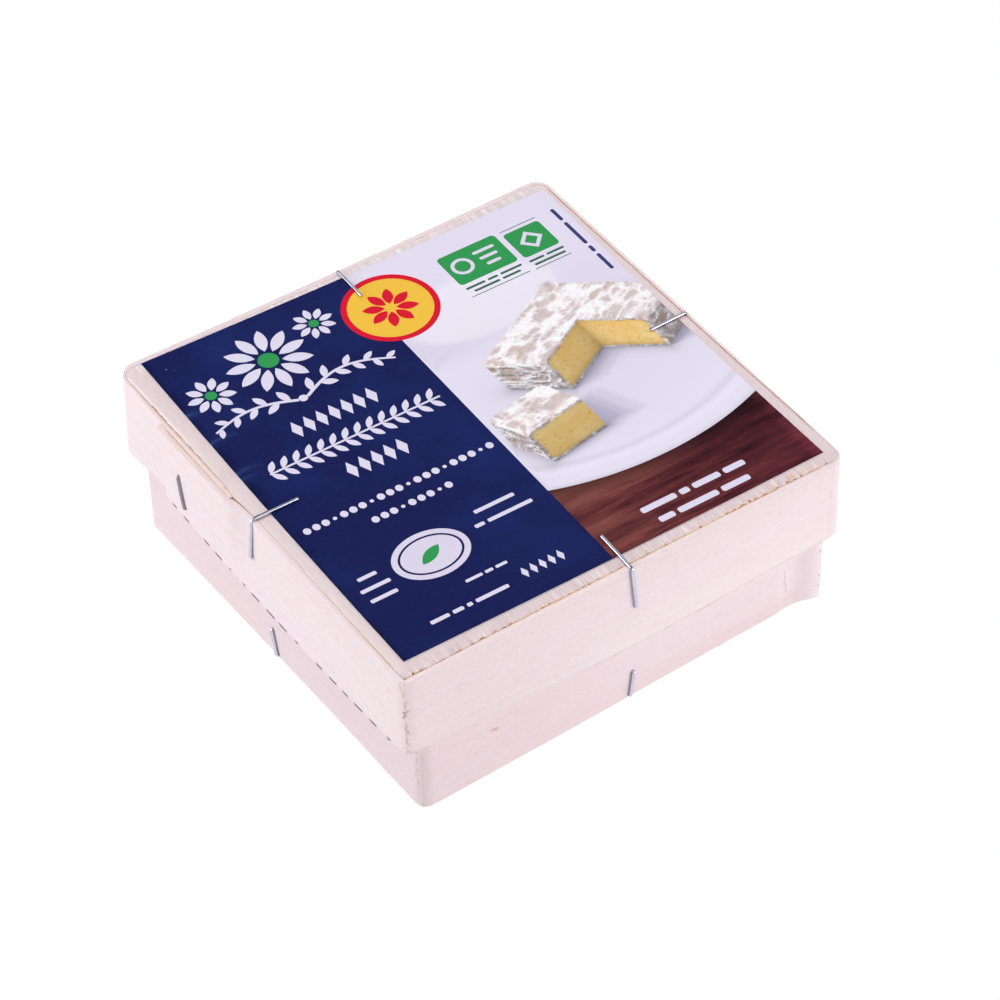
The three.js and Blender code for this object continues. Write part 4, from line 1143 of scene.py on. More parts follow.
def base_board_mesh():
    inset = VENEER + 0.14
    radii = [r - inset for r in BASE_RADII]
    corners = inset_corners(BASE_CORNERS, inset)
    steps = [even(95, 0.35), even(95, 0.6), even(95, 0.35), even(95, 0.6)]
    for side, (name, (sd, along, lean)) in enumerate(BASE_STAPLES.items()):
        p = base_line.pieces[2 * sd + 1]
        ax = 0 if sd % 2 == 0 else 1
        u = (along - lean - p["a"][ax]) / (p["b"][ax] - p["a"][ax])
        fine = [u + k * 0.13 / 95 for k in range(-9, 10)]
        steps[sd] = sorted([v for v in steps[sd] if abs(v - u) > 1.25 / 95] + fine)
    marks = ring_stations(steps)
    n = len(marks)
    co, stain_and_light = [], []

    def groove(x, y):
        g = np.zeros(np.shape(x))
        for knee, tip, nrm in BASE_LEGS.values():
            along = (x - knee[0]) * -nrm[0] + (y - knee[1]) * -nrm[1]
            off = np.abs((x - knee[0]) * nrm[1] - (y - knee[1]) * nrm[0])
            g = np.maximum(g, 0.72 * (1 - ease(off, 0.34, 0.6)) * (1 - ease(along, 9.7, 10.3)))
        return g

    def layer(t, z_off, fixed_z=None):
        line = inset_outline(corners, radii, t)
        s = ring_points(line, marks)
        x, y, k = s["x"], s["y"], s["side"]
        room = np.where((k == 0) & (s["w"] > 0), -front_run(x) + (VENEER + PLY_GAP + 0.05) * ease(x, 27.5, 30), 0.0)
        dd = np.array([base_line.start[p] + base_line.pieces[p]["len"] * u for p, u in marks])
        turn = (dd < D_FRONT_END + 12) & (dd >= D_FRONT_END - 1e-6)
        room = np.where(turn, 0.05 - round_corner(dd), room)
        fb = ((k == 0) | (k == 2)).astype(float)
        e = np.where(k == 0, torn(x, 300, [(-33, .4), (-7, .5), (14, .3), (36, .5)]), np.where(k == 2, torn(x, 330, [(-20, .4), (9, .5), (28, .3)]), 0.04 + 0.03 * noise(y * 1.1, 3.1, 340)))
        pull = 0.8 * e * math.exp(-t / 0.5) + room * math.exp(-t / 30.0) - s["w"] * BASE_BOW[k] * math.exp(-t / 30.0)
        x = x - s["nx"] * pull
        y = y - s["ny"] * pull
        ridge = np.abs(fb * 0.03 * noise(x * 2.1, 0.7, 311)) * math.exp(-t / 2.0)
        z = z_off + ridge + groove(x, y) if fixed_z is None else np.full(n, fixed_z)
        r = np.clip((e - 0.12) * 2.0, 0, 1) * math.exp(-(t / 0.4) ** 2) * fb + 0.5 * math.exp(-(t / 0.10) ** 2)
        g = 0.4 * math.exp(-t / 0.3)
        co.append(np.stack([x, y, z], -1))
        stain_and_light.append(np.stack([np.clip(r, 0, 1), np.full(n, g) + 0 * r, np.zeros(n)], -1))

    layer(0, 0, BASE_TOP)
    layer(0, 0, 2.6)
    layer(0, 0, 1.2)
    layer(0, 0.16)
    layer(0.05, 0.06)
    layer(0.15, 0.015)
    for t in (0.3, 0.5, 0.8, 1.2, 1.8, 2.6, 3.6):
        layer(t, 0.0)
    m = len(co)
    idx = np.arange(m * n).reshape(m, n)
    faces = []
    for a in range(m - 1):
        p, q = idx[a], idx[a + 1]
        for i in range(n):
            j = (i + 1) % n
            faces.append((int(q[i]), int(q[j]), int(p[j]), int(p[i]))[::-1])
    verts = np.concatenate(co)
    st = np.concatenate(stain_and_light)
    ring = verts[idx[-1]][:, :2]
    extra = []
    for knee, tip, nrm in BASE_LEGS.values():
        side_v = np.array([nrm[1], -nrm[0]])
        for a in np.arange(5.2, 10.8, 0.22):
            for b in np.arange(-0.78, 0.79, 0.13):
                extra.append(knee - nrm * a + side_v * b)
    v, tris, _ = fill_inside(ring, 3.0, np.array(extra))
    base = len(verts)
    inner = v[n:]
    verts = np.concatenate([verts, np.column_stack([inner, groove(inner[:, 0], inner[:, 1])])])
    st = np.concatenate([st, np.zeros((len(inner), 3))])
    last = idx[-1]
    for f in tris:
        faces.append(tuple(int(last[i]) if i < n else int(base + i - n) for i in f[::-1]))
    faces.append(tuple(int(i) for i in idx[0]))
    # all layers run anticlockwise seen from above and go down the walls to the
    # underside, so their quads face out with the order used here
    x, y = turned(verts[:, 0], verts[:, 1], BASE_TURN, BASE_CENTRE)
    verts = np.column_stack([x, y, verts[:, 2]])
    return make_mesh("base_board_wood", verts, faces, [board_mat_base], stain_and_light=st)


base_board = base_board_mesh()
print("base board faces", len(base_board.data.polygons))


# ----------------------------------------------------------------- the staples
def rounded_path(points, radii, step=0.16):
    """Points along a bent wire, with each inner corner rounded off."""
    p = [np.array(q, float) for q in points]
    out = [p[0]]
    for i in range(1, len(p) - 1):
        a = p[i - 1] - p[i]
        b = p[i + 1] - p[i]
        la, lb = np.linalg.norm(a), np.linalg.norm(b)
        a, b = a / la, b / lb
        half = math.acos(max(-1, min(1, float(a @ b)))) / 2
        if half > math.pi / 2 - 0.02:
            out.append(p[i])
            continue
        reach = min(radii[i - 1] / math.tan(half), la * 0.48, lb * 0.48)
        r = reach * math.tan(half)
        m = (a + b) / np.linalg.norm(a + b)
        centre = p[i] + m * r / math.sin(half)
        u = p[i] + a * reach - centre
        v = p[i] + b * reach - centre
        ang = math.acos(max(-1, min(1, float(u @ v) / (r * r))))
        k = max(4, int(ang * r / step) + 1)
        for j in range(k + 1):
            t = j / k
            out.append(centre + (math.sin((1 - t) * ang) * u + math.sin(t * ang) * v) / math.sin(ang))
    out.append(p[-1])
    fine = [out[0]]
    for a, b in zip(out[:-1], out[1:]):
        n = max(1, int(round(np.linalg.norm(b - a) / 0.45)))
        for j in range(1, n + 1):
            fine.append(a + (b - a) * j / n)
    return np.array(fine)


def staple(name, points, radii, flat, seed, dents=(), metal=None, size=1.0, broad=1.0):
    """Wire of a slightly flattened round section along a bent path. flat is
    the direction of its broad side's normal at the start."""
    path = rounded_path(points, radii)
    n = len(path)
    tan = np.gradient(path, axis=0)
    tan /= np.linalg.norm(tan, axis=1)[:, None]
    side = np.cross(tan[0], flat)
    side /= np.linalg.norm(side)
    m = 20
    ang = np.arange(m) * 2 * np.pi / m
    power = 0.82
    ca = np.sign(np.cos(ang)) * np.abs(np.cos(ang)) ** power
    sa = np.sign(np.sin(ang)) * np.abs(np.sin(ang)) ** power
    dist = np.concatenate([[0], np.cumsum(np.linalg.norm(np.diff(path, axis=0), axis=1))])
    rings, uv = [], []
    for i in range(n):
        t = tan[i]
        side = side - t * float(side @ t)
        side /= np.linalg.norm(side)
        up = np.cross(side, t)
        g = 1 + 0.018 * float(noise(dist[i] * 0.9, 0.4, seed)) + 0.012 * float(noise(dist[i] * 3.3, 0.4, seed + 1))
        sq = 1.0
        for at, amount in dents:
            sq -= amount * math.exp(-((dist[i] - at) / 0.35) ** 2)
        tip = min(1.0, 0.72 + 0.28 * min(dist[i], dist[-1] - dist[i]) / 0.12)
        rings.append(path[i] + tip * g * size * (WIRE_W * broad * (2 - sq) * ca[:, None] * side + WIRE_T * sq * sa[:, None] * up))
        uv.append(np.stack([np.full(m, dist[i]), np.arange(m) * 2 * np.pi * 0.38 / m], -1))
    co = np.concatenate(rings)
    idx = np.arange(n * m).reshape(n, m)
    faces = []
    for i in range(n - 1):
        for j in range(m):
            k = (j + 1) % m
            faces.append((int(idx[i, j]), int(idx[i, k]), int(idx[i + 1, k]), int(idx[i + 1, j])))
    faces.append(tuple(int(v) for v in idx[0][::-1]))
    faces.append(tuple(int(v) for v in idx[-1]))
    ob = make_mesh(name, co, faces, [metal or steel_mat], uv=np.concatenate(uv), angle=50)
    return ob


def on_lid(side, along, out, z):
    d = np.array([lid_line.where(side, along)])
    s = lid_line.at(d)
    k = out + lid_shift(d, s, np.full((1, 1), min(z, BOX_H)))[:, 0]
    return np.array([(s["x"] + s["nx"] * k)[0], (s["y"] + s["ny"] * k)[0], z]), np.array([s["nx"][0], s["ny"][0], 0.0])


def lid_staple(name, side, tip, edge, seed, foot=None, reach=10.4, inset=0.0, bend=0.62, drop=9.6, prong=True):
    lift = LABEL_TOP + WIRE_T + 0.01
    off = WIRE_T + 0.0
    foot = edge if foot is None else foot
    top, nrm = on_lid(side, edge, off - inset, lift)
    d = np.array([lid_line.where(side, tip)])
    s = lid_line.at(d)
    start = np.array([s["x"][0] - nrm[0] * reach, s["y"][0] - nrm[1] * reach, lift])
    knee, _ = on_lid(side, edge + 0.25 * (foot - edge), off - 0.5 * inset, BOX_H - 2.5)
    end, _ = on_lid(side, foot, off + 0.04, BOX_H - drop)
    pts = [start + (0, 0, -1.5), start, top, knee, end, end - nrm * 1.35 + (0, 0, 0.1)]
    radii = [0.3, bend, 6.0, 0.5]
    flat = np.cross((0, 0, -1.0), np.cross(nrm, (0, 0, 1.0)))
    if not prong:          # this end only lies on the label
        pts, radii, flat = pts[1:], radii[1:], np.array([0, 0, 1.0])
    return staple(name, pts, radii, flat, seed, dents=((1.9, 0.05), (10.6, 0.07)))


staples = {}
staples["lid_staple_front"] = lid_staple("lid_wire_front", 0, 0.4, 0.05, 401, foot=0.65, bend=0.75, drop=9.95)
staples["lid_staple_right"] = lid_staple("lid_wire_right", 1, -0.1, 0.0, 411, reach=9.75, inset=0.8, bend=0.9, prong=False)
staples["lid_staple_back"] = lid_staple("lid_wire_back", 2, 0.7, 0.8, 421, reach=10.1, inset=0.78, bend=0.9, prong=False)
staples["lid_staple_left"] = lid_staple("lid_wire_left", 3, 0.3, 0.5, 431, foot=0.7, reach=10.5, inset=0.35, bend=1.1, drop=9.85)


def seam(name, put, ends, seed, metal, size=1.0, broad=1.0):
    """Straight staple with both prongs driven in."""
    (a0, z0), (a1, z1) = ends
    p0, nrm = put(a0, z0)
    p1, _ = put(a1, z1)
    mid = (p0 + p1) / 2 + nrm * 0.03
    pts = [p0 - nrm * 1.1, p0, mid, p1, p1 - nrm * 1.1]
    return staple(name, pts, [0.42, 5.0, 0.42], np.array([0, 0, 1.0]), seed, dents=((1.3, 0.1), (8.6, 0.1)), metal=metal, size=size, broad=broad)


staples["lid_seam_staple"] = seam("lid_wire_seam", lambda a, z: on_lid(3, a, WIRE_T - 0.05, z), [(26.8, 31.2), (25.7, 22.8)], 441, steel_dull, size=0.84)


def on_base(side, along, out, z):
    s = base_line.at(np.array([base_line.where(side, along)]))
    k = out + s["w"] * BASE_BOW[side] + (front_run(s["x"]) if side == 0 else 0)
    x, y = s["x"] + s["nx"] * k, s["y"] + s["ny"] * k
    gx, gy = turned(x[0], y[0], BASE_TURN, BASE_CENTRE)
    nx, ny = turned(s["nx"][0], s["ny"][0], BASE_TURN, (0, 0))
    return np.array([gx, gy, z]), np.array([nx, ny, 0.0])


def base_staple(name, side, along, lean, seed):
    low = 0.04 + WIRE_T
    upper, nrm = on_base(side, along, WIRE_T + 0.02, 6.8)
    knee, _ = on_base(side, along - lean, WIRE_T + 0.02, low)
    tip = knee - nrm * 9.6
    pts = [upper - nrm * 1.3, upper, knee, tip, tip + (0, 0, 1.5)]
    return staple(name, pts, [0.42, 0.55, 0.45], np.array([0, 0, 1.0]), seed, dents=((1.4, 0.06),))


for i, (node, (side, along, lean)) in enumerate(BASE_STAPLES.items()):
    staples[node] = base_staple(node.replace("base_staple", "base_wire"), side, along, lean, 451 + 10 * i)
staples["base_seam_staple"] = seam("base_wire_seam", lambda a, z: on_base(0, a, -0.17, z), [(39.87, 11.5), (40.74, 4.2)], 495, steel_painted_pale, size=0.78, broad=1.6)

# ------------------------------------------------------------------- the label
TILT = math.radians(-0.8)


def T(pts):
    p = np.asarray(pts, float).reshape(-1, 2)
    x, y = turned(p[:, 0] + 0.4, p[:, 1], TILT, (-0.4, 0))
    return np.stack([x, y], -1)


def disc(cx, cy, rx, ry=None, n=64, turn=0.0):
    ry = rx if ry is None else ry
    t = np.arange(n) * 2 * np.pi / n
    x, y = rx * np.cos(t), ry * np.sin(t)
    x, y = turned(x, y, turn, (cx, cy))
    return np.stack([x, y], -1)


def rrect(cx, cy, w, h, r, turn=0.0, n=5):
    pts = []
    for qx, qy, a in ((1, 1, 0), (-1, 1, 90), (-1, -1, 180), (1, -1, 270)):
        for k in range(n + 1):
            t = math.radians(a + 90 * k / n)
            pts.append((qx * (w / 2 - r) + r * math.cos(t), qy * (h / 2 - r) + r * math.sin(t)))
    pts = np.array(pts)
    x, y = turned(pts[:, 0], pts[:, 1], turn, (cx, cy))
    return np.stack([x, y], -1)


def leaf(cx, cy, length, width, turn, n=9):
    t = np.linspace(0, 1, n)
    half = width / 2 * np.sin(np.pi * t) ** 0.8
    x = np.concatenate([t, t[-2:0:-1]]) * length
    y = np.concatenate([half, -half[-2:0:-1]])
    x, y = turned(x, y, turn, (cx, cy))
    return np.stack([x, y], -1)[::-1]


def ribbon(points, width):
    """A line of even width along points, as a polygon."""
    p = np.asarray(points, float)
    t = np.gradient(p, axis=0)
    t /= np.linalg.norm(t, axis=1)[:, None]
    nrm = np.stack([-t[:, 1], t[:, 0]], -1)
    w = np.broadcast_to(np.asarray(width, float), (len(p),))[:, None] / 2
    return np.concatenate([p - nrm * w, (p + nrm * w)[::-1]])


INK = {
    "navy": (srgb(18, 26, 81), (0, 1, 0)),
    "lilac": (srgb(216, 209, 230), (0, 0, 0)),
    "white": (srgb(219, 213, 233), (0, 0, 0)),
    "picture": ((1, 1, 1), (0, 0, 0)),
    "table": ((1, 1, 1), (1, 0, 0)),
    "red": (srgb(214, 20, 48), (0, 0, 0)),
    "gold": (srgb(238, 190, 66), (0, 0, 0)),
    "green": (srgb(50, 150, 82), (0, 0, 0)),
    "deep_green": (srgb(56, 104, 78), (0, 0, 0)),
    "ink_blue": (srgb(56, 60, 116), (0, 0, 0)),
    "pale_blue": (srgb(112, 150, 172), (0, 0, 0)),
}
art = []             # (polygon, ink, shade) in the order they are printed


def put(poly, ink, shade=1.0):
    p = np.asarray(poly, float)
    q = np.roll(p, -1, 0)
    if (p[:, 0] * q[:, 1] - q[:, 0] * p[:, 1]).sum() < 0:
        p = p[::-1]
    art.append((p, ink, shade))


def words(cx, y, widths, height, gap, ink="white", turn=0.0, left=None):
    """A row of plain rounded bars."""
    total = sum(widths) + gap * (len(widths) - 1)
    x = (cx - total / 2) if left is None else left
    for w in widths:
        mx, my = turned(x + w / 2 - cx, 0, turn, (cx, y))
        put(T(rrect(mx, my, w, height, min(height, w) * 0.32, turn)), ink)
        x += w + gap


# ---- the printed picture: a plain still life, worked out ray by ray
ELEV = math.radians(37.2)
UP = np.array([0.0, math.sin(ELEV), math.cos(ELEV)])
INTO = np.array([0.0, math.cos(ELEV), -math.sin(ELEV)])
PLATE_R, PLATE_X, PLATE_V = 47.0, 24.5, -1.6
PLATE_Y = PLATE_V / UP[1]
SUN = np.array([-0.52, -0.10, 0.85]) / np.linalg.norm([-0.52, -0.10, 0.85])


def unit(v):
    return v / np.maximum(np.linalg.norm(v, axis=-1, keepdims=True), 1e-9)


class Block:
    """A square cheese, or a part of one, standing on the plate. cuts are
    half spaces of its own frame that have been cut away."""

    def __init__(self, at, turn, half, high, edge, kind, seed):
        self.at, self.half, self.high, self.edge, self.kind, self.seed = np.array(at), half, high, edge, kind, seed
        c, s = math.cos(turn), math.sin(turn)
        self.rot = np.array([[c, s, 0], [-s, c, 0], [0, 0, 1]])

    def local(self, p):
        return (p - np.array([self.at[0], self.at[1], 0.0])) @ self.rot.T

    def skin(self, q):
        h = np.array([self.half, self.half, self.high / 2])
        e = self.edge
        d = np.abs(q - np.array([0, 0, self.high / 2])) - h + e
        return np.linalg.norm(np.maximum(d, 0), axis=-1) + np.minimum(d.max(-1), 0) - e

    def cut(self, q):
        """Positive in what was cut away, and which way its face looks."""
        if self.kind == "notched":
            return np.minimum(0.6 - q[:, 0], 0.4 - q[:, 1])
        if self.kind == "quarter":
            return np.maximum(q[:, 0] + 0.8, 1.2 - q[:, 1])
        return np.maximum(np.abs(q[:, 1] + 2.0) - 0.95, np.abs(q[:, 0]) - 99.0)

    def dist(self, p):
        q = self.local(p)
        d = self.skin(q) * 0.9
        if self.kind == "whole":
            return d
        return np.maximum(d, self.cut(q))


BLOCKS = [
    Block((32.0, 2.5), math.radians(43), 16.6, 12.6, 1.9, "notched", 0),
    Block((20.6, -29.6), math.radians(17), 16.0, 12.0, 1.9, "quarter", 40),
]


def relief(q, seed):
    """Ridges of the rind over a block's own coordinates, 0 to 1."""
    def one(a, b, k):
        w = 0.9 * noise(a * 0.16, b * 0.16, seed + k + 5)
        n1 = 1 - np.abs(noise(a * 0.26 + w, b * 0.46 + 0.4 * w, seed + k))
        n2 = 1 - np.abs(noise(a * 0.62 + w, b * 0.9, seed + k + 1))
        n3 = noise(a * 1.6, b * 1.9, seed + k + 2)
        return 0.55 * n1 ** 2 + 0.33 * n2 + 0.12 * (0.5 + 0.5 * n3)
    return one(q[:, 0], q[:, 1], 801), one(q[:, 0], q[:, 2] + 7, 821), one(q[:, 1], q[:, 2] + 3, 841)


def still_life(xy):
    """Printed colour at points of the label, in linear light."""
    u, v = turned(xy[:, 0] + 0.4, xy[:, 1], -TILT, (-0.4, 0))
    m = len(u)
    lilac = np.array(srgb(222, 215, 234))
    rgb = np.tile(lilac, (m, 1))
    # soft backdrop, with an out-of-focus pale dish behind
    rgb *= (0.90 + 0.12 * ease(v + 0.25 * u, 8, 44))[:, None]
    blur = np.exp(-np.maximum(0, np.hypot((u - 19.0) / 17.0, (v - 27.0) / 9.0) - 0.92) ** 2 / 0.012)
    rgb = rgb * (1 - 0.55 * blur[:, None]) + np.array(srgb(240, 236, 247)) * 0.55 * blur[:, None]
    o = np.stack([u, np.zeros(m), np.zeros(m)], -1) + v[:, None] * UP - 60 * INTO
    # where the ray meets the plate's plane
    tp = -o[:, 2] / INTO[2]
    ground = o + tp[:, None] * INTO
    rad = np.hypot(ground[:, 0] - PLATE_X, ground[:, 1] - PLATE_Y) / PLATE_R
    on_plate = rad < 1
    china = np.array(srgb(229, 223, 240))
    tone = 0.93 + 0.05 * ease(rad, 0.2, 0.9) - 0.10 * np.exp(-((rad - 0.80) / 0.025) ** 2) + 0.04 * np.exp(-((rad - 0.86) / 0.03) ** 2)
    tone = tone - 0.16 * ease(rad, 0.955, 1.0) * (v < 0)
    # light blocked by the cheeses, and their soft shadow
    dark = np.ones(m)
    p = ground.copy()
    t = 0.35
    for _ in range(26):
        q = ground + SUN * t
        dd = np.minimum(BLOCKS[0].dist(q), BLOCKS[1].dist(q))
        dark = np.minimum(dark, np.clip(0.5 + 3.2 * dd / t, 0, 1))
        t *= 1.17
    near = np.minimum(BLOCKS[0].dist(ground), BLOCKS[1].dist(ground))
    contact = 1 - 0.45 * np.exp(-np.maximum(near, 0) / 1.3)
    tone = tone * (0.66 + 0.34 * dark) * contact
    plate = china * tone[:, None] * (1 + 0.06 * (dark[:, None] - 1) * np.array([1.0, 1.1, -0.4]))
    show = ease(0.0 - (rad - 1.0), 0, 0.006) * (v < 21)
    fade = 1 - ease(v, 12, 21)
    k = (show * fade)[:, None]
    rgb = rgb * (1 - k) + plate * k
    # march to the cheeses
    t = np.full(m, 20.0)
    hit = np.full(m, -1)
    alive = np.ones(m, bool)
    for _ in range(64):
        idx = np.nonzero(alive)[0]
        if not len(idx):
            break
        q = o[idx] + t[idx, None] * INTO
        d0, d1 = BLOCKS[0].dist(q), BLOCKS[1].dist(q)
        d = np.minimum(d0, d1)
        done = d < 0.015
        hit[idx[done]] = np.where(d0[done] < d1[done], 0, 1)
        t[idx] += np.maximum(d, 0.01)
        alive[idx] = ~done & (t[idx] < tp[idx]) & (t[idx] < 110)
    for b, block in enumerate(BLOCKS):
        idx = np.nonzero(hit == b)[0]
        if not len(idx):
            continue
        pos = o[idx] + t[idx, None] * INTO
        q = block.local(pos)
        e = 0.03
        g = np.stack([block.dist(pos + np.eye(3)[i] * e) - block.dist(pos - np.eye(3)[i] * e) for i in range(3)], -1)
        nrm = unit(g)
        nl = nrm @ block.rot.T
        depth = -block.skin(q)
        rim = 0.75 + 0.30 * noise(q[:, 0] * 0.9 + q[:, 1], q[:, 2] * 0.9, 861)
        paste = (depth > rim) & (nl[:, 2] < 0.5)
        # rind: relief bends the normal and sets the tone
        w = np.abs(nl) ** 3
        w = w / w.sum(-1, keepdims=True)

        def field(qq):
            a, bb, c = relief(qq, block.seed)
            return a * w[:, 2] + bb * w[:, 1] + c * w[:, 0]

        h = field(q)
        gh = np.stack([field(q + np.eye(3)[i] * 0.12) - h for i in range(3)], -1) / 0.12
        gh = gh - nl * (gh * nl).sum(-1, keepdims=True)
        nb = unit(nl - 1.15 * gh) @ block.rot
        lit = np.clip(nb @ SUN, 0, 1)
        sky = 0.5 + 0.5 * nb[:, 2]
        light = 0.30 + 0.34 * sky + 0.48 * lit
        low = 1 - 0.30 * np.exp(-pos[:, 2] / 1.6)
        white, taupe = np.array(srgb(248, 243, 250)), np.array(srgb(206, 190, 188))
        f = ease(h, 0.30, 0.66)[:, None]
        rind = (taupe * (1 - f) + white * f)
        spot = ease(noise(q[:, 0] * 0.35 + q[:, 2] * 0.3, q[:, 1] * 0.35, block.seed + 871), 0.25, 0.8)[:, None]
        rind = rind * (1 - 0.13 * spot * np.array([0.2, 0.6, 1.0]))
        col = rind * (light * low)[:, None]
        # paste: gold, paler to the middle, with small eyes and a smeared grain
        c1 = fbm(q[:, 0] * 0.22 + q[:, 1] * 0.22, q[:, 2] * 0.3, block.seed + 881)
        c2 = noise((q[:, 0] + q[:, 1]) * 1.5, q[:, 2] * 2.3, block.seed + 883)
        gx, gy = (q[:, 0] - q[:, 1]) * 0.62, q[:, 2] * 0.85
        ci, cj = np.floor(gx), np.floor(gy)
        ex, ey = ci + 0.25 + 0.5 * hash01(ci, cj, 891), cj + 0.25 + 0.5 * hash01(ci, cj, 892)
        size = 0.05 + 0.17 * hash01(ci, cj, 893) ** 2
        eye = ease(size - np.hypot((gx - ex) * 0.8, gy - ey), -0.04, 0.05) * (hash01(ci, cj, 894) > 0.35)
        gold, cream = np.array(srgb(240, 188, 96)), np.array(srgb(252, 226, 164))
        f = np.clip(0.45 + 0.35 * c1 + 0.12 * c2 + 0.10 * (b == 1), 0, 1)[:, None]
        inside = (gold * (1 - f) + cream * f)
        edge_tone = ease(depth - rim, 0.0, 0.9)[:, None]
        inside = inside * (0.86 + 0.14 * edge_tone)
        inside = inside * (1 - eye[:, None] * np.array([0.22, 0.30, 0.45]))
        face = 0.50 + 0.22 * (0.5 + 0.5 * nrm[:, 2]) + 0.50 * np.clip(nrm @ SUN, 0, 1)
        # light lost down in the notch
        if block.kind == "notched":
            corner = np.hypot(q[:, 0] - 0.6, q[:, 1] - 0.4)
            face = face * (1 - 0.25 * np.exp(-corner / 2.5)) * (1 - 0.12 * np.exp(-pos[:, 2] / 2.5))
        colp = inside * (face * low)[:, None] * 1.08
        rgb[idx] = np.where(paste[:, None], colp, col)
    return np.clip(rgb, 0.004, 0.92)


LBL = np.array(LABEL_CORNERS)


def outline_poly():
    line = Outline(LABEL_CORNERS, [0.2] * 4)
    d = []
    for k, p in enumerate(line.pieces):
        n = 3 if p["arc"] else int(p["len"] / 1.3)
        d.extend(line.start[k] + p["len"] * np.arange(n) / n)
    s = line.at(np.array(d) + 1e-9)
    k = s["w"] * LABEL_BOW[s["side"]]
    return np.stack([s["x"] + s["nx"] * k, s["y"] + s["ny"] * k], -1)


LABEL_RING = outline_poly()
put(LABEL_RING, "picture")
arc = [(PLATE_X + PLATE_R * math.sin(a), PLATE_V - PLATE_R * math.sin(ELEV) * math.cos(a)) for a in np.radians(np.linspace(-42, 42, 90))]
put(T([(arc[0][0], -60), (arc[-1][0], -60)] + arc[::-1]), "table", "table")

# the dark field on the left
put([(-60, -60), (-1.22, -60), (0.74, 60), (-60, 60)], "navy")

# two tiny scuffs
put(T(disc(-43.8, 46.3, 0.14, 0.18, 10)), "pale_blue")
put(T(disc(-42.6, 45.2, 0.16, 0.30, 10)), "ink_blue")

# round two-tone spot
put(T(disc(3.2, 36.35, 10.2, n=96)), "red")
put(T(disc(3.2, 36.35, 8.9, n=96)), "gold")
for k in range(8):
    a = k * math.pi / 4 + math.pi / 8
    put(T(leaf(3.2 + 1.2 * math.cos(a), 36.35 + 1.2 * math.sin(a), 4.7, 2.3, a)), "red")
put(T(disc(3.2, 36.35, 1.0, n=24)), "gold")

# two green plates with plain white shapes and rules under them
put(T(rrect(25.7, 38.5, 14.2, 9.7, 0.9)), "green")
put(T(disc(22.2, 38.6, 2.5, n=40)), "white")
put(T(disc(22.2, 38.6, 1.7, n=40)), "green")
for k in range(3):
    put(T(rrect(28.5, 40.6 - 2.1 * k, 5.2 - 0.9 * k, 0.85, 0.4)), "white")
put(T(rrect(38.5, 37.6, 8.8, 8.6, 0.9)), "green")
put(T([(38.5, 40.5), (35.7, 37.6), (38.5, 34.7), (41.3, 37.6)][::-1]), "white")
put(T([(38.5, 39.3), (36.9, 37.6), (38.5, 35.9), (40.1, 37.6)][::-1]), "green")
for k, (y, ws) in enumerate(((32.2, (4.6, 2.4, 5.2)), (30.8, (6.2, 4.4)))):
    words(25.7, y, ws, 0.62, 0.7, "deep_green")
words(38.5, 31.9, (3.6, 4.2), 0.62, 0.7, "deep_green")
words(38.5, 30.5, (7.6,), 0.62, 0.7, "deep_green")
put(T(rrect(25.7, 29.5, 14.2, 0.22, 0.1)), "deep_green")
put(T(rrect(38.5, 29.3, 8.8, 0.22, 0.1)), "deep_green")
put(T(rrect(38.5, 42.9, 8.8, 0.22, 0.1)), "deep_green")
# a short upright row at the right edge
x = 20.5
for w in (5.6, 2.1, 8.0, 4.2):
    put(T(rrect(47.2, x + w / 2, 0.85, w, 0.38)), "ink_blue")
    x += w + 0.9
# on the table
words(23.5, -40.7, (8.2, 2.2, 6.4, 5.0), 1.5, 0.9, "white")
words(23.5, -44.6, (3.6, 9.4, 6.6), 1.5, 0.9, "white")


# a spray of three plain flowers
def flower(cx, cy, r, petals, turn=0.0):
    for k in range(petals):
        a = turn + 2 * math.pi * k / petals
        put(T(leaf(cx + 0.30 * r * math.cos(a), cy + 0.30 * r * math.sin(a), 0.70 * r, 2 * math.pi * 0.62 * r / petals * 0.80, a)), "white")
    put(T(disc(cx, cy, 0.24 * r, n=28)), "green")


def sprig(x0, y0, x1, y1, lift, leaves, size, side=1):
    t = np.linspace(0, 1, 26)
    line = np.stack([x0 + (x1 - x0) * t, y0 + (y1 - y0) * t + lift * np.sin(np.pi * t)], -1)
    put(T(ribbon(line, 0.75 - 0.25 * t)), "white")
    for k in range(leaves):
        u = 0.10 + 0.84 * k / (leaves - 1)
        i = int(u * 25)
        px, py = line[i]
        ang = math.atan2(*(line[min(i + 1, 25)] - line[i - 1])[::-1])
        s = 1 if k % 2 else -1
        put(T(leaf(px, py, size * (1 - 0.35 * u), size * 0.42 * (1 - 0.3 * u), ang + s * 0.85 * side)), "white")


flower(-25.5, 37.0, 9.2, 11, 0.14)
flower(-40.3, 34.6, 5.2, 9, 0.3)
flower(-12.2, 41.2, 4.6, 9, 0.1)
sprig(-26.5, 23.6, -45.0, 24.6, 2.4, 8, 4.2)
sprig(-24.5, 23.6, -4.0, 23.2, 3.6, 9, 4.2, -1)
put(T(disc(-25.5, 23.6, 0.95, n=24)), "white")

# three plain friezes where a title stands
def lozenges(cx, cy, count, pitch, w, h, ink="white"):
    for k in range(count):
        x = cx + (k - (count - 1) / 2) * pitch
        put(T([(x, cy + h / 2), (x - w / 2, cy), (x, cy - h / 2), (x + w / 2, cy)]), ink)


def garland(cx, cy, length, pairs, size):
    put(T(rrect(cx, cy, length, 0.5, 0.24)), "white")
    for k in range(pairs):
        x = cx - length / 2 + length * (k + 0.1) / pairs
        for side in (1, -1):
            put(T(leaf(x, cy + side * 0.15, size, size * 0.40, side * 0.95)), "white")


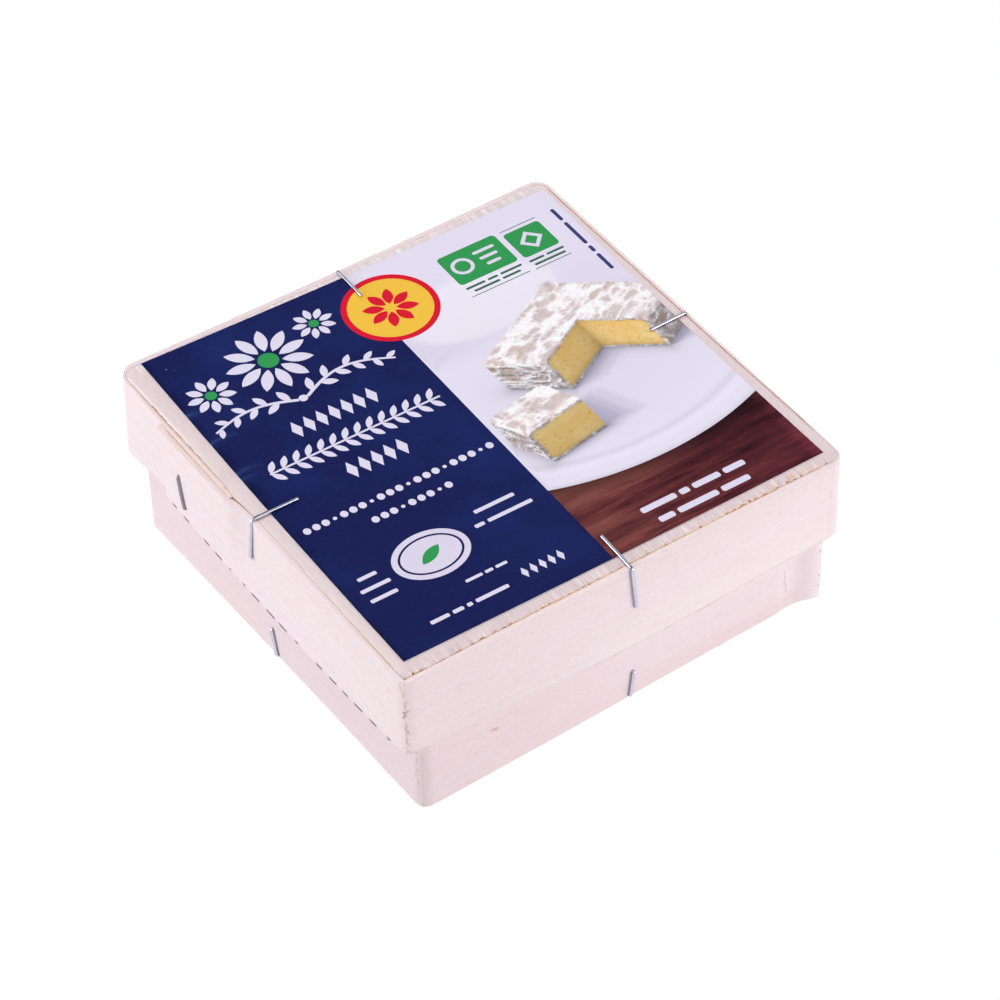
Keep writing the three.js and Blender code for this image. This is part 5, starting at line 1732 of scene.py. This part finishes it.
lozenges(-22.6, 16.6, 7, 2.9, 2.25, 5.0)
garland(-22.6, 8.7, 39.5, 14, 3.5)
lozenges(-22.6, 0.8, 5, 2.9, 2.25, 5.0)


def beads(cx, cy, count, pitch, r):
    for k in range(count):
        x = cx + (k - (count - 1) / 2) * pitch
        if k % 4 == 3:
            put(T(disc(x, cy, r * 0.55, n=16)), "white")
        else:
            put(T(disc(x, cy, r, r * 1.12, n=20)), "white")


beads(-23.6, -8.7, 21, 2.1, 0.80)
beads(-23.6, -13.4, 9, 2.1, 0.80)
# a pale oval with a spot, and small rows beside it
put(T(disc(-28.3, -27.3, 8.2, 6.2, 72)), "lilac")
put(T(disc(-28.3, -27.3, 6.9, 4.95, 72)), "navy")
put(T(disc(-28.3, -27.3, 6.4, 4.5, 72)), "lilac")
put(T(leaf(-31.1, -28.9, 6.2, 2.6, 0.52)), "green")
for k, ws in enumerate(((4.2,), (6.6,), (6.0,))):
    words(-41.6, -25.4 - 3.1 * k, ws, 0.95, 0.8)
words(-10.8, -22.6, (9.2,), 0.95, 0.8)
words(-10.8, -26.0, (2.2, 10.2), 0.95, 0.8)
words(-29.5, -42.6, (4.2, 2.4, 1.2, 7.4), 0.95, 0.8)
lozenges(-12.2, -41.5, 5, 2.05, 1.4, 3.0)
words(-22.2, -37.2, (3.8, 1.8, 2.6), 0.75, 0.6)


def shade_at(kind, ink, x, y):
    """Soft printed light: one factor for each point."""
    f = np.ones_like(x)
    if kind == "table":
        u, v = turned(x + 0.4, y, -TILT, (-0.4, 0))
        rad = np.hypot(u - PLATE_X, v / UP[1] - PLATE_Y) / PLATE_R
        f = f * (0.42 + 0.62 * ease(rad, 0.98, 1.16))
        f = f * (0.80 - 0.46 * ease(u, 8, 46) * (1 - 0.4 * ease(-v, 36, 46))) * (1 + 0.9 * ease(u, 47.3, 49.2))
    if kind == "table":
        red = ease(x, 6, 44)
        return np.stack([f * (1 - 0.06 * red), f * (1 - 0.42 * red), f * (1 - 0.08 * red)], -1)
    return f[:, None] * np.ones(3)


CREASES = [((-46.8, 32.8), (-43.6, 32.2), 0.15), ((-47.1, 23.3), (-41.6, 22.9), 0.5), ((-47.4, 12.9), (-42.2, 12.9), 0.5), ((-47.5, 11.2), (-44.6, 11.0), 0.2)]


def label_mesh():
    ring = LABEL_RING
    verts, polys = [], []
    for poly, ink, shade in art:
        n0 = len(verts)
        verts.extend(Vector(p) for p in poly)
        polys.append(list(range(n0, n0 + len(poly))))
    lo, hi = ring.min(0), ring.max(0)
    pts = []
    for step, x0, x1, y0, y1 in ((2.2, lo[0], 0.2, lo[1], hi[1]), (1.5, 0.2, hi[0], lo[1], -31.5), (1.2, 0.2, hi[0], 23, hi[1]),
                                 (0.31, 0.4, hi[0] - 0.2, -31.2, 22.7)):
        nx, ny = int((x1 - x0) / step), int((y1 - y0) / step)
        gx, gy = np.meshgrid(np.arange(nx) + 0.5, np.arange(ny) + 0.5)
        px = x0 + (gx + 0.25 * noise(gx * 7.3, gy * 5.1, 701)) * (x1 - x0) / nx
        py = y0 + (gy + 0.25 * noise(gx * 4.7, gy * 8.9, 702)) * (y1 - y0) / ny
        pts.append(np.stack([px.ravel(), py.ravel()], -1))
    for (x0, y0), (x1, y1), bend in CREASES:
        for t in np.linspace(-0.02, 1.02, 20):
            for off in (-0.66, -0.33, 0.0, 0.33, 0.66):
                pts.append(np.array([[x0 + (x1 - x0) * t, y0 + (y1 - y0) * t + bend * math.sin(math.pi * min(max(t, 0), 1)) + off]]))
    pts = np.concatenate(pts)
    verts.extend(Vector(p) for p in pts)
    res = delaunay_2d_cdt(verts, [], polys, 1, 1e-6, True)
    v = np.array([tuple(p) for p in res[0]])
    faces, inks = [], []
    ring_ids = set()
    for f, src in zip(res[2], res[5]):
        if not src or 0 not in src:
            continue
        faces.append(tuple(f))
        inks.append(max(src))
    used = np.zeros(len(v), bool)
    for f in faces:
        used[list(f)] = True
    remap = np.cumsum(used) - 1
    v = v[used]
    faces = [tuple(int(remap[i]) for i in f) for f in faces]
    n = len(v)
    # boundary edges run once
    seen = {}
    for f in faces:
        for a, b in zip(f, f[1:] + f[:1]):
            seen[(a, b)] = True
    rim = [(a, b) for (a, b) in seen if (b, a) not in seen]
    x, y = v[:, 0], v[:, 1]
    left = x - (-48.5 + (y + 47.35) * 2.15 / 98.75 - 0.38 * np.sin(np.pi * np.clip((y + 47.35) / 98.75, 0, 1)))
    front = y - (-47.35 - 0.82 * (x + 48.5) / 97.85 - 0.30 * np.sin(np.pi * np.clip((x + 48.5) / 97.85, 0, 1)))
    z = LABEL_TOP + 0.02 * fbm(x / 16.0, y / 16.0, 711)
    z = z + 0.06 * np.exp(-left / 0.9) * np.clip(0.5 + 0.8 * fbm(y / 9.0, 0.3, 712), 0, 1)
    z = z + 0.03 * np.exp(-front / 1.2) * np.clip(0.4 + 0.8 * fbm(x / 11.0, 0.3, 713), 0, 1)
    for (x0, y0), (x1, y1), bend in CREASES:
        ex, ey = x1 - x0, y1 - y0
        t = np.clip(((x - x0) * ex + (y - y0) * ey) / (ex * ex + ey * ey), 0, 1)
        dist = np.hypot(x - x0 - t * ex, y - y0 - t * ey)
        z = z + 0.05 * (1 - t) * np.exp(-(dist / 0.7) ** 2)
    # pressed down on the board along its right edge
    along = (y + 48.17) / 96.87
    right = 49.35 + 0.85 * along - 0.42 * np.sin(np.pi * np.clip(along, 0, 1)) - x
    z = z - (z - 39.14) * np.exp(-np.maximum(right, 0) / 0.9)
    top = np.column_stack([v, z])
    # the underside: the same rim, filled with few points
    nxt = dict(rim)
    order = [rim[0][0]]
    while nxt[order[-1]] != order[0]:
        order.append(nxt[order[-1]])
    m = len(order)
    rim_xy = v[order]
    low_v, low_f, _ = fill_inside(rim_xy, 6.0)
    low_z = np.full(len(low_v), LABEL_TOP - LABEL_THICK)
    low_z[:m] = np.maximum(z[order] - LABEL_THICK, BOARD_TOP + 0.012)
    bottom = np.column_stack([low_v, low_z])
    low_faces = [tuple(n + i for i in f[::-1]) for f in low_f]
    walls = [(order[(k + 1) % m], order[k], n + k, n + (k + 1) % m) for k in range(m)]
    all_faces = list(faces) + low_faces + walls
    mats = [0] * len(faces) + [1] * (len(low_faces) + len(walls))
    ob = make_mesh("label_paper_sheet", np.concatenate([top, bottom]), all_faces, [label_mat, edge_mat], face_mat=mats, angle=30)
    me = ob.data
    colours = np.zeros((len(me.loops), 4), np.float32)
    motif = np.zeros((len(me.loops), 4), np.float32)
    colours[:] = (0.9, 0.9, 0.9, 1)
    motif[:, 3] = 1
    k = 0
    loop_v = np.zeros(len(me.loops), np.int32)
    me.loops.foreach_get("vertex_index", loop_v)
    starts = np.zeros(len(me.polygons), np.int32)
    counts = np.zeros(len(me.polygons), np.int32)
    me.polygons.foreach_get("loop_start", starts)
    me.polygons.foreach_get("loop_total", counts)
    face_ink = np.array(inks)
    drawn = still_life(v)
    crease = np.zeros(n)
    for (x0, y0), (x1, y1), bend in CREASES:
        ex, ey = x1 - x0, y1 - y0
        t = np.clip(((x - x0) * ex + (y - y0) * ey) / (ex * ex + ey * ey), 0, 1)
        dist = np.hypot(x - x0 - t * ex, y - y0 - t * ey - bend * np.sin(np.pi * t))
        crease = np.maximum(crease, 0.50 * (1 - 0.75 * t) * np.exp(-(dist / 0.50) ** 2))
    for a in np.unique(face_ink):
        poly, ink, shade = art[a]
        rgb, mot = INK[ink]
        sel = np.nonzero(face_ink == a)[0]
        loops = np.concatenate([np.arange(starts[i], starts[i] + counts[i]) for i in sel])
        p = v[loop_v[loops]]
        f = shade_at(shade, ink, p[:, 0], p[:, 1])
        colours[loops, :3] = np.asarray(rgb)[None, :] * f
        if ink == "picture":
            colours[loops, :3] = drawn[loop_v[loops]]
        motif[loops, :3] = mot
        if ink == "navy":
            motif[loops, 2] = crease[loop_v[loops]]
            # painted shadow along the label's raised left edge: the navy darkens towards it
            u = left[loop_v[loops]]
            dark = 1 - 0.45 * np.exp(-u / 0.35)
            colours[loops, :3] *= dark[:, None]
    att = me.color_attributes.new(name="ink", type="FLOAT_COLOR", domain="CORNER")
    att.data.foreach_set("color", colours.ravel())
    att = me.color_attributes.new(name="motif", type="FLOAT_COLOR", domain="CORNER")
    att.data.foreach_set("color", motif.ravel())
    return ob


label = label_mesh()
print("label faces", len(label.data.polygons))

# ------------------------------------------------------------ riding, replacing
for ob, node, slot in (
    (lid_band, "lid_band", "poplar_band"),
    (base_band, "base_band", "poplar_band"),
    (lid_board, "lid_board", "poplar_board"),
    (base_board, "base_board", "poplar_board"),
    (label, "label", "label_paper"),
    *((ob, node, "staple_wire") for node, ob in staples.items()),
):
    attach(ob, "root")
    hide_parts(node)

# ------------------------------------------------------------------- the stage
# a lit white table, a dim even room, soft lamps from both sides and overhead
GLOW, ROOM = 1.0, 0.30
KEY, FRONT, TOP, SKY, FILL = 2.34, 2.6, 42.0, 20.0, 2.0
floor_mesh = bpy.data.meshes.new("floor")
R = 3.0
floor_mesh.from_pydata([(-R, -R, 0), (R, -R, 0), (R, R, 0), (-R, R, 0)], [], [(0, 1, 2, 3)])
floor = bpy.data.objects.new("floor", floor_mesh)
bpy.context.scene.collection.objects.link(floor)
ft = Tree("floor_white")
ft.bsdf.inputs["Base Color"].default_value = (0, 0, 0, 1)
ft.bsdf.inputs["Specular IOR Level"].default_value = 0.0
ft.bsdf.inputs["Roughness"].default_value = 1.0
ft.bsdf.inputs["Emission Color"].default_value = (1, 1, 1, 1)
ft.bsdf.inputs["Emission Strength"].default_value = GLOW
floor_mesh.materials.append(ft.mat)

world = bpy.data.worlds.new("studio")
bpy.context.scene.world = world
world.use_nodes = True
bg = world.node_tree.nodes["Background"]
wt = world.node_tree
way = wt.nodes.new("ShaderNodeTexCoord").outputs["Generated"]


def toward(x, y, z, a, b, c, d):
    """Smoothly from c to d as the direction turns to (x, y, z)."""
    k = math.sqrt(x * x + y * y + z * z)
    dot = wt.nodes.new("ShaderNodeVectorMath")
    dot.operation = "DOT_PRODUCT"
    wt.links.new(way, dot.inputs[0])
    dot.inputs[1].default_value = (x / k, y / k, z / k)
    r = wt.nodes.new("ShaderNodeMapRange")
    r.interpolation_type = "SMOOTHSTEP"
    wt.links.new(dot.outputs["Value"], r.inputs[0])
    for i, q in enumerate((a, b, c, d)):
        r.inputs[i + 1].default_value = q
    return r.outputs[0]


level = wt.nodes.new("ShaderNodeMath")
level.operation = "MULTIPLY"
wt.links.new(toward(0.62, 0.78, 0.12, 0.55, 0.90, 1.0, 0.10), level.inputs[0])
level.inputs[1].default_value = ROOM
bg.inputs[0].default_value = (1.0, 1.0, 1.0, 1)
wt.links.new(level.outputs[0], bg.inputs[1])



def area(name, loc, target, size, power, colour=(1, 1, 1)):
    data = bpy.data.lights.new(name, "AREA")
    data.shape = "RECTANGLE"
    data.size, data.size_y = size
    data.energy = power
    data.color = colour
    ob = bpy.data.objects.new(name, data)
    bpy.context.scene.collection.objects.link(ob)
    ob.location = loc
    ob.rotation_euler = (Vector(target) - Vector(loc)).to_track_quat("-Z", "Y").to_euler()
    return ob


area("key_left", (-0.62, 0.30, 0.20), (-0.05, 0.0, 0.02), (0.42, 0.36), KEY, (0.968, 1.0, 1.018))
area("key_front", (0.40, -0.62, 0.18), (0.0, -0.05, 0.02), (0.42, 0.34), FRONT, (1.0, 0.982, 0.992))
area("top", (0.15, 0.45, 3.0), (0, 0, 0), (2.4, 2.4), TOP).visible_glossy = False
area("sky", (-0.44, 1.22, 2.56), (0, 0, 0), (2.7, 2.7), SKY).visible_glossy = False
area("panel_left", (-0.70, 0.66, 0.76), (0, 0, 0.03), (0.95, 0.8), 3.1, (0.98, 0.98, 1.0)).visible_diffuse = False
area("panel_front", (0.36, -0.85, 0.76), (0, 0, 0.03), (0.95, 0.8), 3.1, (0.98, 0.98, 1.0)).visible_diffuse = False
area("back_fill", (0.9, 0.9, 0.9), (0, 0, 0.02), (0.9, 0.9), FILL)

scene = bpy.context.scene
scene.view_settings.view_transform = "Standard"
scene.view_settings.look = "None"
scene.view_settings.exposure = 0.0
scene.view_settings.gamma = 1.0

# ------------------------------------------------------------------ the camera
cam_at = np.array([-314.409, -482.195, 584.135])
right = Vector((0.8241396, -0.56613835, -0.01677138))
up = Vector((0.40781658, 0.57259829, 0.71120801))
forward = Vector((0.39303887, 0.59297433, -0.70278154))
cam_data = bpy.data.cameras.new("camera")
cam = bpy.data.objects.new("camera", cam_data)
scene.collection.objects.link(cam)
m = Matrix.Identity(4)
for i, v in enumerate((right, up, -forward)):
    for j in range(3):
        m[j][i] = v[j]
m.translation = Vector(to_metres(cam_at))
cam.matrix_world = m
cam_data.sensor_fit = "HORIZONTAL"
cam_data.sensor_width = 36.0
cam_data.lens = 4012.383 * 36.0 / 1000.0
cam_data.clip_start = 0.01
cam_data.clip_end = 20.0
cam_data.dof.use_dof = False
scene.camera = cam
